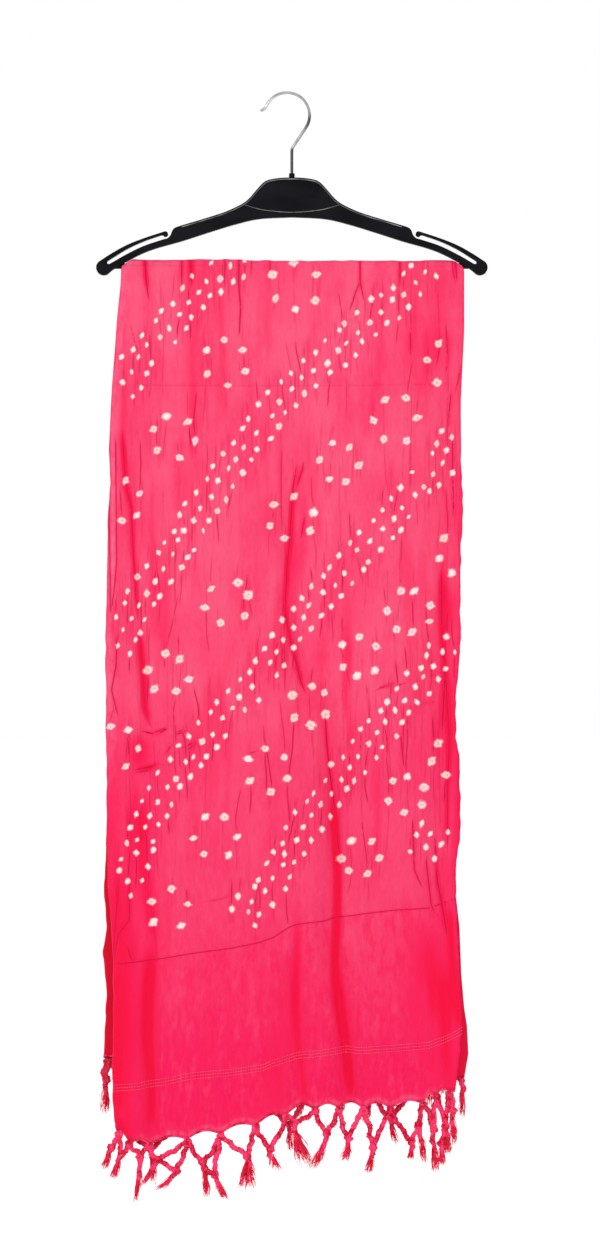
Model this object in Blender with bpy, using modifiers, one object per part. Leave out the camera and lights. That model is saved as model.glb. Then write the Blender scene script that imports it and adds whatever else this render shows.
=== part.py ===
"""Folded dupatta stole hung over the bar of a plastic clothes hanger.

Metres, +Z up, the viewer at -Y. The origin is the inside top of the hook, where a rail bears.
The stole is folded once along its length, with the fold at its left edge, and hung over the bar.
"""
import math
import random

import bmesh
import bpy
import numpy as np
from mathutils import Vector

MM = 0.001

# ---- driving dimensions ----
STEM_X = 5.1 * MM              # the stem stands this far right of the point where the rail bears
WIRE_R = 1.65 * MM             # hook wire
HOOK_R = 24.1 * MM             # hook circle, to the wire's centre
BEND_Z = -58.4 * MM            # where the hook's slanted part meets the upright stem
STEM_END_Z = -100.0 * MM       # the stem's foot, inside the hanger
HANGER_T = 10.0 * MM           # hanger thickness, front to back
EDGE_ROUND = 0.9 * MM          # rounding along the hanger's edges
COLLAR = dict(radius=3.1 * MM, top=-84.6 * MM, foot=-92.0 * MM)
BAR_R = 3.0 * MM
BAR_Z = -183.7 * MM            # bar's centre
BAR_HALF = 190.6 * MM          # half of the bar's length, sockets included
FIT = 0.3 * MM                 # gap between pieces that touch
WALL = 1.2 * MM                # cloth wall
BAR_LAYER_GAP = 1.7 * MM       # outer to inner layer, wall centres, over the bar
HUNG_LAYER_GAP = 3.2 * MM      # the least gap where the cloth hangs free
HEM_LAYER_GAP = 5.2 * MM       # and near the hems, where the layers part
TURN_DEPTH = 2.0 * MM          # how far the lengthwise fold reaches past the flat of its layers
BAND = dict(height=3.0 * MM, thick=1.7 * MM)   # woven strip that carries the fringe
KNOT_R = 2.7 * MM
INNER_KNOT_R = 2.3 * MM
YARN_R = 1.6 * MM
SMALL_MERGE = 0.01 * MM

# Hanger outline, left half, in mm from the hanger's centre line: x, z. Smooth runs between corners.
UPPER_EDGE = [(0, -89.2), (-12, -89.7), (-23.4, -91.4), (-30, -94.4), (-36.5, -101), (-44.8, -110.6),
              (-53, -117.3), (-70.4, -125.6), (-93, -133), (-117.9, -140.4)]
NOTCH = [(-117.9, -140.4), (-124.6, -142.8), (-127.7, -145.9), (-129.6, -150.8), (-132.8, -154.2)]
SLOT_LOWER = [(-132.8, -154.2), (-140, -156.2), (-158.4, -162.4), (-176.9, -171.4), (-194.8, -181.6)]
SLOT_END = [(-194.8, -181.6), (-197.2, -181.2), (-196.9, -178.6)]
SLOT_UPPER = [(-196.9, -178.6), (-176.9, -166.2), (-158.4, -157.5), (-140.4, -151.2)]
BALL = dict(x=-135.1, z=-149.6, radius=2.9, first=205, last=465)
FINGER_EDGE = [(-135.9, -146.8), (-158.4, -154.2), (-176.9, -161.6), (-193.4, -170.8), (-204.5, -178.0)]
ARM_END = dict(x=-200.9, z=-185.4, radius=8.2, first=116, last=296)
UNDERSIDE = [(-197.3, -192.8), (-187.9, -185.6), (-164.6, -172.8), (-146.2, -165.3), (-117.9, -157.3),
             (-90, -148.3), (-59.3, -139), (-34, -133.4), (0, -131.6)]

# Cloth edges, mm: fall below the bar's centre, x of the edge from the hanger's centre line.
FRONT_LEFT = [(-6, -170), (-4, -174.5), (0, -181), (2, -182), (54, -187), (126, -192.3), (198, -195),
              (233, -193.5), (271, -196.5), (409, -198.5), (582, -197.2), (656, -196.5), (700, -193),
              (742, -190.2), (868, -191.3), (897, -190), (923, -184.5), (940, -181)]
FRONT_RIGHT = [(-6, 170), (-4, 175), (0, 181.5), (4, 184), (68, 184), (97, 182.6), (140, 180.5),
               (206, 180.5), (257, 182.6), (300, 180.5), (401, 179.6), (471, 174.7), (500, 174.7),
               (528, 178.3), (571, 179.7), (611, 179), (635, 175.4), (671, 174.7), (706, 176.5),
               (757, 177), (828, 175.5), (888, 172)]
FRONT_INNER_RIGHT = [(-6, 167), (0, 178), (68, 181), (206, 177.5), (401, 176), (500, 171.5), (571, 176),
                     (671, 175), (706, 179), (757, 181), (792, 184), (811, 187), (841, 188.5), (868, 184)]
BACK_LEFT = [(-6, -170), (-4, -174), (0, -179.5), (54, -183), (271, -192), (500, -195.5), (640, -200),
             (710, -201.5), (760, -199.5), (850, -201.5)]
BACK_RIGHT = [(-6, 169), (0, 179), (54, 181), (271, 178), (500, 172), (700, 171), (850, 168)]
BACK_INNER_RIGHT = [(-6, 166), (0, 175), (271, 174), (500, 168), (700, 166), (850, 160)]

# Hems, mm: x, fall below the bar's centre.
FRONT_HEM = [(-200, 915), (-184, 925), (-170, 936), (-111, 931), (-57, 918), (-10, 907), (10, 899),
             (66, 897), (108, 897), (136, 893), (154, 884), (190, 875)]
FRONT_INNER_HEM = [(-200, 911), (-170, 932), (-111, 927), (-57, 914), (10, 895), (108, 893), (136, 889),
                   (190, 868)]
BACK_HEM = [(-205, 846), (-120, 853), (-30, 846), (60, 852), (120, 845), (180, 838)]
BACK_INNER_HEM = [(-205, 843), (-120, 850), (-30, 843), (60, 848), (120, 842), (180, 834)]

# Folds, mm: path of (fall, x), half width, depth towards the bar (a ridge is negative).
FRONT_FOLDS = [
    dict(name="centre pleat", path=[(455, 35), (548, 42), (640, 45), (720, 43), (776, 51), (842, 58),
                                    (960, 64)], width=13, depth=9),
    dict(name="pleat lip", path=[(500, 60), (640, 64), (776, 71), (960, 84)], width=13, depth=-4),
    dict(name="middle crease", path=[(240, -1), (356, -7), (391, -5), (440, 6), (500, 15)],
         width=13, depth=6),
    dict(name="left fold", path=[(197, -178), (249, -173), (335, -167), (410, -160), (510, -146)],
         width=11, depth=4),
    dict(name="lower left fold", path=[(720, -150), (960, -152)], width=12, depth=6),
    dict(name="lower middle fold", path=[(730, 2), (960, 10)], width=13, depth=5),
    dict(name="right fold", path=[(150, 163), (330, 160), (560, 157), (700, 160)], width=10, depth=3.5),
    dict(name="broad left swell", path=[(60, -100), (400, -95), (960, -90)], width=60, depth=-4),
    dict(name="broad right swell", path=[(60, 95), (400, 100), (960, 120)], width=50, depth=-4),
    dict(name="top pleat 1", path=[(-6, -155), (52, -152)], width=6, depth=2),
    dict(name="top pleat 2", path=[(-6, -108), (40, -107)], width=6, depth=2),
    dict(name="top pleat 3", path=[(-6, -41), (45, -38)], width=7, depth=2),
    dict(name="top pleat 4", path=[(-6, 74), (50, 74)], width=6, depth=2),
    dict(name="top pleat 5", path=[(-6, 115), (36, 116)], width=6, depth=2),
]
BACK_FOLDS = [
    dict(name="back pleat", path=[(380, -30), (560, -36), (720, -44), (880, -50)], width=12, depth=8),
    dict(name="back pleat lip", path=[(420, -52), (720, -66), (880, -72)], width=14, depth=-4),
    dict(name="back right crease", path=[(180, 60), (360, 52), (560, 62)], width=14, depth=6),
    dict(name="back left fold", path=[(300, -165), (560, -160), (880, -166)], width=12, depth=4),
    dict(name="back lower fold", path=[(600, 96), (880, 104)], width=13, depth=6),
    dict(name="back left swell", path=[(60, -110), (880, -115)], width=45, depth=-4),
    dict(name="back right swell", path=[(60, 20), (880, 30)], width=45, depth=-3),
]

# Visible fringe, mm. Knots along the hem by x; then the lower knots, where yarns of neighbours meet.
FRONT_KNOTS = dict(k1=-173.4, k2=-151.6, k3=-111, k4=-75.8, k5=-38.4, k6=-6.3, k7=25.2, k8=50.3,
                   k9=76, k10=104.8, k11=140.1, k12=153.8, k13=167.9)
LOWER_KNOTS = [
    dict(name="a", x=-161.8, fall=951, above=("k1", "k2"), tail=(-166.6, 996), tip=1.6),
    dict(name="b", x=-143.1, fall=953, above=("k2", "k3"), tail=(-157, 979), tip=1.2),
    dict(name="c", x=-122.8, fall=965, above=("b", "k3"), tail=(-139.9, 984), tip=2.6),
    dict(name="d", x=-95.3, fall=956, above=("k3", "k4"), tail=(-90.7, 992), tip=1.3),
    dict(name="e", x=-82.2, fall=968, above=("k4", "d"), tail=(-70.4, 994), tip=2.0),
    dict(name="f", x=-47.5, fall=949, above=("k4", "k5"), tail=(-47.5, 982), tip=8.0),
    dict(name="g", x=-22.7, fall=942, above=("k5", "k6"), tail=(-17, 963), tip=2.4),
    dict(name="h", x=2.2, fall=914, above=("k6", "k7"), tail=(14, 957), tip=7.0),
    dict(name="i", x=37.5, fall=925, above=("k7", "k8"), tail=(24, 962), tip=3.0),
    dict(name="j", x=60.5, fall=930, above=("k8", "k9"), tail=(55.7, 954), tip=3.6),
    dict(name="l", x=86.3, fall=940, above=("k9", "k10"), tail=(81.6, 966), tip=2.4),
    dict(name="n", x=134.8, fall=916, above=("k11",), tail=(141.2, 954), tip=1.4),
    dict(name="m", x=127.4, fall=934, above=("k10", "n"), tail=(126, 952), tip=2.0),
    dict(name="o", x=151.5, fall=921, above=("k11", "k12"), tail=(153, 963), tip=2.4),
    dict(name="r", x=163.5, fall=917, above=("k12", "k13"), tail=(166, 946), tip=3.0),
]
INNER_FRONT_KNOTS = [-166, -132, -21, 12, 92, 122, 181]
BACK_KNOTS = [-196, -164, -131, -99, -66, -32, 1, 34, 68, 101, 133, 162]
INNER_BACK_KNOTS = [-150, -112, -4, 32, 108, 146]

COLOURS = dict(
    cloth=((0.93, 0.06, 0.17, 1), 0.75, 0.0),
    cloth_back=((0.80, 0.02, 0.07, 1), 0.75, 0.0),
    fringe=((0.86, 0.03, 0.11, 1), 0.8, 0.0),
    plastic=((0.012, 0.012, 0.015, 1), 0.35, 0.0),
    chrome=((0.75, 0.75, 0.77, 1), 0.15, 1.0),
)


# ---- small helpers ----
def clear_scene():
    for obj in list(bpy.data.objects):
        bpy.data.objects.remove(obj, do_unlink=True)


def collection(name):
    made = bpy.data.collections.new(name)
    bpy.context.scene.collection.children.link(made)
    return made


def material(name):
    colour, roughness, metallic = COLOURS[name]
    made = bpy.data.materials.new(name)
    made.use_nodes = True
    shader = made.node_tree.nodes["Principled BSDF"]
    shader.inputs["Base Color"].default_value = colour
    shader.inputs["Roughness"].default_value = roughness
    shader.inputs["Metallic"].default_value = metallic
    return made


def add_object(name, data, group, finish=None):
    obj = bpy.data.objects.new(name, data)
    group.objects.link(obj)
    if finish:
        data.materials.append(finish)
    return obj


def as_cutter(obj):
    obj.hide_render = True
    obj.display_type = 'WIRE'
    return obj


def curve_to_mesh(obj, name):
    """The curve as a welded mesh; the curve object is removed."""
    bpy.context.view_layer.update()
    evaluated = obj.evaluated_get(bpy.context.evaluated_depsgraph_get())
    mesh = bpy.data.meshes.new_from_object(evaluated)
    mesh.name = name
    bm = bmesh.new()
    bm.from_mesh(mesh)
    bmesh.ops.remove_doubles(bm, verts=bm.verts, dist=SMALL_MERGE)
    bm.to_mesh(mesh)
    bm.free()
    bpy.data.objects.remove(obj, do_unlink=True)
    return mesh


def boolean(obj, other, operation, use_self=False):
    mod = obj.modifiers.new(operation.lower(), 'BOOLEAN')
    mod.object = other
    mod.operation = operation
    mod.solver = 'EXACT'
    mod.use_self = use_self


def cylinder_mesh(name, radius, length, sides):
    mesh = bpy.data.meshes.new(name)
    bm = bmesh.new()
    bmesh.ops.create_cone(bm, cap_ends=True, segments=sides, radius1=radius, radius2=radius, depth=length)
    bm.to_mesh(mesh)
    bm.free()
    return mesh


def smooth_run(points, steps):
    """Points on a smooth curve through a run of outline points (Catmull-Rom)."""
    pts = [Vector(p) for p in points]
    pts = [2 * pts[0] - pts[1]] + pts + [2 * pts[-1] - pts[-2]]
    out = []
    for k in range(1, len(pts) - 2):
        for s in range(steps):
            t = s / steps
            a, b, c, d = pts[k - 1:k + 3]
            out.append(0.5 * (2 * b + (c - a) * t + (2 * a - 5 * b + 4 * c - d) * t ** 2
                              + (3 * b - a - 3 * c + d) * t ** 3))
    return out + [pts[-2]]


def arc_points(spec, steps):
    angles = np.radians(np.linspace(spec["first"], spec["last"], steps))
    return [Vector((spec["x"] + spec["radius"] * math.cos(a), spec["z"] + spec["radius"] * math.sin(a)))
            for a in angles]


# ---- hanger ----
def hanger_outline():
    """The whole outline in mm, left half then its mirror."""
    half = smooth_run(UPPER_EDGE, 2) + smooth_run(NOTCH, 2)[1:] + smooth_run(SLOT_LOWER, 2)[1:]
    half += [Vector(p) for p in SLOT_END[1:]] + smooth_run(SLOT_UPPER, 2)[1:]
    half += arc_points(BALL, 8) + smooth_run(FINGER_EDGE, 2)
    half += arc_points(ARM_END, 9) + smooth_run(UNDERSIDE, 2)
    left = half[1:-1]
    right = [Vector((-p.x, p.y)) for p in reversed(left)]
    return [half[0]] + left + [half[-1]] + right


def make_hanger(parts, cutters, root):
    curve = bpy.data.curves.new("hanger_outline", 'CURVE')
    curve.dimensions = '2D'
    curve.fill_mode = 'BOTH'
    curve.extrude = HANGER_T / 2
    outline = hanger_outline()
    spline = curve.splines.new('POLY')
    spline.points.add(len(outline) - 1)
    for point, p in zip(spline.points, outline):
        point.co = (p.x * MM, p.y * MM, 0, 1)
    spline.use_cyclic_u = True
    flat = add_object("hanger_flat", curve, cutters)
    body = add_object("hanger_body", curve_to_mesh(flat, "hanger_body"), parts, material("plastic"))
    body.rotation_euler = (math.radians(90), 0, 0)
    body.parent = root

    bevel = body.modifiers.new("edges", 'BEVEL')
    bevel.width = EDGE_ROUND
    bevel.segments = 1
    bevel.limit_method = 'ANGLE'
    bevel.angle_limit = math.radians(60)

    collar_h = COLLAR["top"] - COLLAR["foot"]
    collar = as_cutter(add_object("collar", cylinder_mesh("collar", COLLAR["radius"], collar_h, 20), cutters))
    collar.location = (0, 0, COLLAR["foot"] + collar_h / 2)
    collar.parent = root
    boolean(body, collar, 'UNION')

    bore_foot = STEM_END_Z - FIT
    bore_h = COLLAR["top"] - bore_foot + 2 * MM
    bore = as_cutter(add_object("bore", cylinder_mesh("bore", WIRE_R + FIT, bore_h, 16), cutters))
    bore.location = (0, 0, bore_foot + bore_h / 2)
    bore.parent = root
    boolean(body, bore, 'DIFFERENCE')

    socket_len = 20 * MM
    for side in (-1, 1):
        socket = as_cutter(add_object("bar_socket", cylinder_mesh("bar_socket", BAR_R + FIT, socket_len, 16),
                                      cutters))
        socket.rotation_euler = (0, math.radians(90), 0)
        socket.location = (side * (BAR_HALF + FIT - socket_len / 2), 0, BAR_Z)
        socket.parent = root
        boolean(body, socket, 'DIFFERENCE')

    bar = add_object("hanger_bar", cylinder_mesh("hanger_bar", BAR_R, 2 * BAR_HALF, 16), parts,
                     material("plastic"))
    bar.rotation_euler = (0, math.radians(90), 0)
    bar.location = (0, 0, BAR_Z)
    bar.parent = root
    bar.data.shade_smooth()
    bar.data.set_sharp_from_angle(angle=math.radians(40))


def hook_route():
    """Centre line of the hook wire: tip, flick, circle, slanted part, bend and stem."""
    centre = Vector((-STEM_X, WIRE_R - HOOK_R))
    foot = Vector((0, BEND_Z)) - centre
    leave = math.atan2(foot.y, foot.x) + math.acos(HOOK_R / foot.length)
    start = math.radians(154)
    circle = [centre + HOOK_R * Vector((math.cos(a), math.sin(a))) for a in np.linspace(start, leave, 26)]
    flick = [Vector((-32.4 * MM, -17.2 * MM)), Vector((-30.6 * MM, -16.4 * MM)), Vector((-28.4 * MM, -14.6 * MM))]
    bend = [Vector((1.5 * MM, BEND_Z + 2.2 * MM)), Vector((0.3 * MM, BEND_Z - 0.5 * MM)),
            Vector((0, BEND_Z - 4 * MM)), Vector((0, STEM_END_Z))]
    return flick + circle + bend


def make_hook(parts, root):
    curve = bpy.data.curves.new("hanger_hook", 'CURVE')
    curve.dimensions = '3D'
    curve.bevel_depth = WIRE_R
    curve.bevel_resolution = 2
    curve.render_resolution_u = 0
    curve.use_fill_caps = True
    route = hook_route()
    spline = curve.splines.new('POLY')
    spline.points.add(len(route) - 1)
    for point, p in zip(spline.points, route):
        point.co = (p.x, 0, p.y, 1)
    hook = add_object("hanger_hook", curve, parts, material("chrome"))
    hook.parent = root


# ---- cloth ----
def from_table(table, at):
    rows = np.array(table, dtype=float)
    return float(np.interp(at, rows[:, 0], rows[:, 1]))


def soft_step(low, high, at):
    t = min(max((at - low) / (high - low), 0.0), 1.0)
    return t * t * (3 - 2 * t)


def fold_depth(folds, x, fall):
    """Depth in mm, towards the bar, of every fold at this place."""
    total = 0.0
    for fold in folds:
        first, last = fold["path"][0][0], fold["path"][-1][0]
        fade = soft_step(first - 25, first + 35, fall) * (1 - soft_step(last - 35, last + 25, fall))
        away = (x - from_table(fold["path"], fall)) / fold["width"]
        total += fold["depth"] * fade * math.exp(-away * away)
    return total


def stand_off(fall):
    """How far in mm the outer layer hangs from the bar's plane, its folds apart."""
    return 5.6 + 7.0 * soft_step(20, 300, fall) + 6.4 * soft_step(250, 700, fall)


def inner_stand_off(fall):
    """The same for the inner layer, which hangs flatter."""
    return 5.6 - BAR_LAYER_GAP / MM + 0.2 * (stand_off(fall) - 5.6)


def least_gap(fall):
    """The least distance in mm between the two layers."""
    return (BAR_LAYER_GAP + (HUNG_LAYER_GAP - BAR_LAYER_GAP) * soft_step(0, 60, fall)
            + (HEM_LAYER_GAP - HUNG_LAYER_GAP) * soft_step(600, 820, fall)) / MM


def scallop(knots, x):
    """The hem rises by this much in mm between two fringe knots."""
    for left, right in zip(knots, knots[1:]):
        if left <= x <= right:
            return 3.2 * math.sin(math.pi * (x - left) / (right - left))
    return 0.0


def layer_point(panel, layer, across, down):
    """A point of the cloth's wall centre. across: 0 left to 1 right. down: 0 bar side to 1 hem."""
    inner = layer == "inner"
    if down < 0:
        radius = inner_stand_off(0) if inner else stand_off(0)
        angle = math.radians(90) * -down
        fall = -radius * math.sin(angle)
        y = radius * math.cos(angle)
    else:
        fall = 0.0
        for _ in range(3):
            x = edge_to_edge(panel, layer, across, fall)
            fall = down * hem_fall(panel, layer, x)
        y = inner_stand_off(fall)
        if not inner:
            y = max(stand_off(fall) - fold_depth(panel["folds"], x, fall), y + least_gap(fall))
    x = edge_to_edge(panel, layer, across, fall)
    return Vector((x, panel["side"] * y, BAR_Z / MM - fall)) * MM


def edge_to_edge(panel, layer, across, fall):
    left = from_table(panel["left"], fall) + TURN_DEPTH / MM
    right = from_table(panel[layer + "_right"], fall)
    return left + across * (right - left)


def hem_fall(panel, layer, x):
    fall = from_table(panel[layer + "_hem"], x)
    return fall - scallop(panel["outer_knots"], x) if layer == "outer" else fall


def turn_point(panel, part_turn, down):
    """A point of the lengthwise fold, from the outer layer (0) round to the inner one (1)."""
    outer = layer_point(panel, "outer", 0, down)
    inner = layer_point(panel, "inner", 0, down)
    half = (outer - inner) / 2
    angle = math.pi * part_turn
    reach = min(half.length, TURN_DEPTH) * math.sin(angle)
    return (outer + inner) / 2 + half * math.cos(angle) - Vector((reach, 0, 0))


def cloth_columns(panel):
    """Where each column of the grid lies: from the outer layer's right edge round to the inner's."""
    outer = [("outer", a) for a in np.linspace(1, 0, panel["outer_columns"])]
    turn = [("turn", t) for t in (0.25, 0.5, 0.75)]
    inner = [("inner", a) for a in np.linspace(0, 1, panel["inner_columns"])]
    return outer + turn + inner


def cloth_rows(panel):
    """Down values: -1 on top of the bar, 0 level with its centre, 1 at the hem."""
    wrap = [-1 + RIDGE_GAP, -0.8, -0.5, -0.25]
    hang = [0, 0.01, 0.035] + list(np.linspace(0.07, 1, panel["rows"]))
    return wrap + hang


RIDGE_GAP = 0.045     # leaves half the gap between the front and back walls on top of the bar


def cloth_point(panel, column, down):
    kind, at = column
    if kind == "turn":
        return turn_point(panel, at, down)
    return layer_point(panel, kind, at, down)


def grid_mesh(name, columns, rows, place):
    """A grid whose points are put in their places by place(column, row)."""
    mesh = bpy.data.meshes.new(name)
    bm = bmesh.new()
    across, along = len(columns) - 1, len(rows) - 1
    bmesh.ops.create_grid(bm, x_segments=across, y_segments=along, size=0.5)
    for vert in bm.verts:
        i = round((vert.co.x + 0.5) * across)
        j = round((vert.co.y + 0.5) * along)
        vert.co = place(columns[i], rows[j])
    bm.to_mesh(mesh)
    bm.free()
    return mesh


def add_wall(obj, thickness):
    wall = obj.modifiers.new("wall", 'SOLIDIFY')
    wall.thickness = thickness
    wall.offset = 0


def make_panel(panel, parts, root):
    mesh = grid_mesh(panel["name"], cloth_columns(panel), cloth_rows(panel),
                     lambda column, row: cloth_point(panel, column, row))
    cloth = add_object(panel["name"], mesh, parts, material(panel["finish"]))
    mesh.shade_smooth()
    add_wall(cloth, WALL)
    cloth.parent = root


# ---- fringe ----
def hem_point(panel, layer, x):
    """The place of a fringe knot: on the band's line under the hem, at x in mm."""
    line = [cloth_point(panel, column, 1) for column in cloth_columns(panel) if column[0] == layer]
    line.sort(key=lambda p: p.x)
    xs = [p.x for p in line]
    place = [float(np.interp(x * MM, xs, [p[k] for p in line])) for k in range(3)]
    return Vector(place) - Vector((0, 0, FIT + BAND["height"]))


def add_yarn(curve, points, radii):
    spline = curve.splines.new('POLY')
    spline.points.add(len(points) - 1)
    for point, place, radius in zip(spline.points, points, radii):
        point.co = (*place, 1)
        point.radius = radius


def sagging(start, end, rng):
    """Start, one bent middle point, end."""
    middle = (start + end) / 2
    bow = Vector((rng.uniform(-1.6, 1.6), rng.uniform(-0.8, 0.8), 0)) * MM
    return [start, middle + bow, end]


def listed_fringe(panel, rng):
    """The visible fringe's knots and yarns from the table."""
    knots = {name: hem_point(panel, "outer", x) for name, x in FRONT_KNOTS.items()}
    yarns = []
    for row in LOWER_KNOTS:
        above = [knots[name] for name in row["above"]]
        depth = sum(p.y for p in above) / len(above) + rng.uniform(-1, 1) * MM
        here = Vector((row["x"] * MM, depth, BAR_Z - row["fall"] * MM))
        knots[row["name"]] = here
        for start in above:
            yarns.append((sagging(start, here, rng), (1, 1, 1)))
        tail = Vector((row["tail"][0] * MM, depth - 1 * MM, BAR_Z - row["tail"][1] * MM))
        yarns.append((sagging(here, tail, rng), (1, 0.5 + 0.5 * row["tip"] / 1.6, row["tip"] / 1.6)))
    return list(knots.values()), yarns


def even_fringe(panel, layer, length, rng):
    """A fringe by rule: each pair of neighbouring knots sends a yarn to one lower knot."""
    tops = [hem_point(panel, layer, x) for x in panel[layer + "_knots"]]
    knots, yarns = list(tops), []
    for left, right in zip(tops, tops[1:]):
        if right.x - left.x > 45 * MM:
            continue
        here = (left + right) / 2 - Vector((rng.uniform(-3, 3), rng.uniform(-0.8, 0.8), 0)) * MM
        here.z = min(left.z, right.z) - rng.uniform(13, 24) * MM
        tail = here - Vector((rng.uniform(-7, 7), 0, length * rng.uniform(0.55, 0.8))) * MM
        knots.append(here)
        yarns.append((sagging(left, here, rng), (1, 1, 1)))
        yarns.append((sagging(right, here, rng), (1, 1, 1)))
        yarns.append((sagging(here, tail, rng), (1, 1, rng.uniform(0.7, 1.6))))
    last = tops[-1]
    yarns.append((sagging(last, last - Vector((0, 0, length * 0.8)) * MM, rng), (1, 1, 0.8)))
    return knots, yarns


def make_fringe(panel, parts, cutters, root):
    rng = random.Random(panel["seed"])
    if panel["name"] == "stole_front":
        knots, yarns = listed_fringe(panel, rng)
    else:
        knots, yarns = even_fringe(panel, "outer", 52, rng)
    inner_knots, inner_yarns = even_fringe(panel, "inner", 48, rng)

    curve = bpy.data.curves.new("yarns", 'CURVE')
    curve.dimensions = '3D'
    curve.bevel_depth = YARN_R
    curve.bevel_resolution = 0
    curve.use_fill_caps = True
    for points, radii in yarns + inner_yarns:
        add_yarn(curve, points, radii)
    mesh = curve_to_mesh(add_object("yarn_curve", curve, cutters), "yarns")
    bm = bmesh.new()
    bm.from_mesh(mesh)
    for places, radius in ((knots, KNOT_R), (inner_knots, INNER_KNOT_R)):
        for place in places:
            made = bmesh.ops.create_icosphere(bm, subdivisions=1, radius=radius)
            bmesh.ops.translate(bm, verts=made["verts"], vec=place)
    bm.to_mesh(mesh)
    bm.free()
    yarn = as_cutter(add_object(panel["fringe"] + "_yarns", mesh, cutters))
    yarn.parent = root

    columns = cloth_columns(panel)
    heights = [FIT / MM, (FIT + BAND["height"]) / MM]
    band_mesh = grid_mesh(panel["fringe"], columns, heights,
                          lambda column, below: cloth_point(panel, column, 1) - Vector((0, 0, below * MM)))
    band = add_object(panel["fringe"], band_mesh, parts, material("fringe"))
    add_wall(band, BAND["thick"])
    boolean(band, yarn, 'UNION', use_self=True)
    band.parent = root


FRONT = dict(name="stole_front", fringe="fringe_front", finish="cloth", side=-1, seed=11,
             left=FRONT_LEFT, outer_right=FRONT_RIGHT, inner_right=FRONT_INNER_RIGHT,
             outer_hem=FRONT_HEM, inner_hem=FRONT_INNER_HEM, folds=FRONT_FOLDS,
             outer_knots=list(FRONT_KNOTS.values()), inner_knots=INNER_FRONT_KNOTS,
             outer_columns=40, inner_columns=12, rows=15)
BACK = dict(name="stole_back", fringe="fringe_back", finish="cloth_back", side=1, seed=23,
            left=BACK_LEFT, outer_right=BACK_RIGHT, inner_right=BACK_INNER_RIGHT,
            outer_hem=BACK_HEM, inner_hem=BACK_INNER_HEM, folds=BACK_FOLDS,
            outer_knots=BACK_KNOTS, inner_knots=INNER_BACK_KNOTS,
            outer_columns=30, inner_columns=10, rows=12)


def main():
    clear_scene()
    parts = collection("stole_on_hanger")
    cutters = collection("cutters")
    root = bpy.data.objects.new("hanger_centre", None)
    root.location = (STEM_X, 0, 0)
    parts.objects.link(root)
    make_hanger(parts, cutters, root)
    make_hook(parts, root)
    for panel in (FRONT, BACK):
        make_panel(panel, parts, root)
        make_fringe(panel, parts, cutters, root)


main()
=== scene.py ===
# Folded tie-dyed stole over the bar of a plastic clothes hanger: the looks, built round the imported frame.
# Sizes are in mm from the hanger's centre line and hook unless a line says otherwise.
import math
import random
from functools import partial
import bmesh
import bpy
import numpy as np
from mathutils import Matrix, Vector


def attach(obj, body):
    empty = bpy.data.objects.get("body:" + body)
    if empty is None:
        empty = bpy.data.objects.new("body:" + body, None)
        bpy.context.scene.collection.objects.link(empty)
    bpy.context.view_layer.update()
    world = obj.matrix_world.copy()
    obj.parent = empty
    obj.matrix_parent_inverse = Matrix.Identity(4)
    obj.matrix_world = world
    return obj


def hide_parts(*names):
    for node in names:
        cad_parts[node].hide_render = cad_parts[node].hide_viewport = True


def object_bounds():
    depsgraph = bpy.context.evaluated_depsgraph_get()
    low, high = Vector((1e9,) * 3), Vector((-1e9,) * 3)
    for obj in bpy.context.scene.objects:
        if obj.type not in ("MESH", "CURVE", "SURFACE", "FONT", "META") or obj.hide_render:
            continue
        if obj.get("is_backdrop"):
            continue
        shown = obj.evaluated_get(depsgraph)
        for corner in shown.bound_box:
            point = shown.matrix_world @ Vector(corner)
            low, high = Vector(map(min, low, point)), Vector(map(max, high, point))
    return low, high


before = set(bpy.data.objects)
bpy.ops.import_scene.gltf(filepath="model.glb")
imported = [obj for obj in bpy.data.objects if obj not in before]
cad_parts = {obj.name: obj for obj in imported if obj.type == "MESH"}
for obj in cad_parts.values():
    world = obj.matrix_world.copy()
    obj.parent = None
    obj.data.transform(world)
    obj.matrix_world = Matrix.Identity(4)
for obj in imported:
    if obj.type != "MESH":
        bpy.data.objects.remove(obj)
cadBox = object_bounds()
print("frame loaded")

mm = 0.001
centreX = 5.1          # the hanger's centre line stands this far right of the hook's bearing point
barZ = -183.7          # the bar's centre


# Nodes, finishes and meshes.
def putInputs(node, values):
    for name, value in values.items():
        socket = node.inputs[name]
        if isinstance(value, bpy.types.NodeSocket):
            node.id_data.links.new(value, socket)
        else:
            socket.default_value = value
    return node


def addNode(tree, kind, values=None, **settings):
    node = tree.nodes.new(kind)
    for name, value in settings.items():
        setattr(node, name, value)
    return putInputs(node, values or {})


def addOut(tree, kind, values=None, **settings):
    return addNode(tree, kind, values, **settings).outputs[0]


def calc(tree, operation, *values, clamp=False):
    node = tree.nodes.new("ShaderNodeMath")
    node.operation = operation
    node.use_clamp = clamp
    return putInputs(node, dict(enumerate(values))).outputs[0]


def between(tree, value, low, high, outLow=0.0, outHigh=1.0):
    ends = {"Value": value, "From Min": low, "From Max": high, "To Min": outLow, "To Max": outHigh}
    return addOut(tree, "ShaderNodeMapRange", ends, interpolation_type='SMOOTHSTEP')


def tint(tree, share, first, second):
    return addNode(tree, "ShaderNodeMix", {0: share, 6: first, 7: second}, data_type='RGBA').outputs[2]


def cloud(tree, place, scale, detail=2.0, stretch=(1, 1, 1), roughness=0.5):
    spread = addOut(tree, "ShaderNodeMapping", {"Vector": place, "Scale": stretch})
    return addOut(tree, "ShaderNodeTexNoise",
                  {"Vector": spread, "Scale": scale, "Detail": detail, "Roughness": roughness})


def newFinish(name, values):
    finish = bpy.data.materials.new(name)
    finish.use_nodes = True
    tree = finish.node_tree
    return finish, tree, putInputs(tree.nodes["Principled BSDF"], values)


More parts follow.
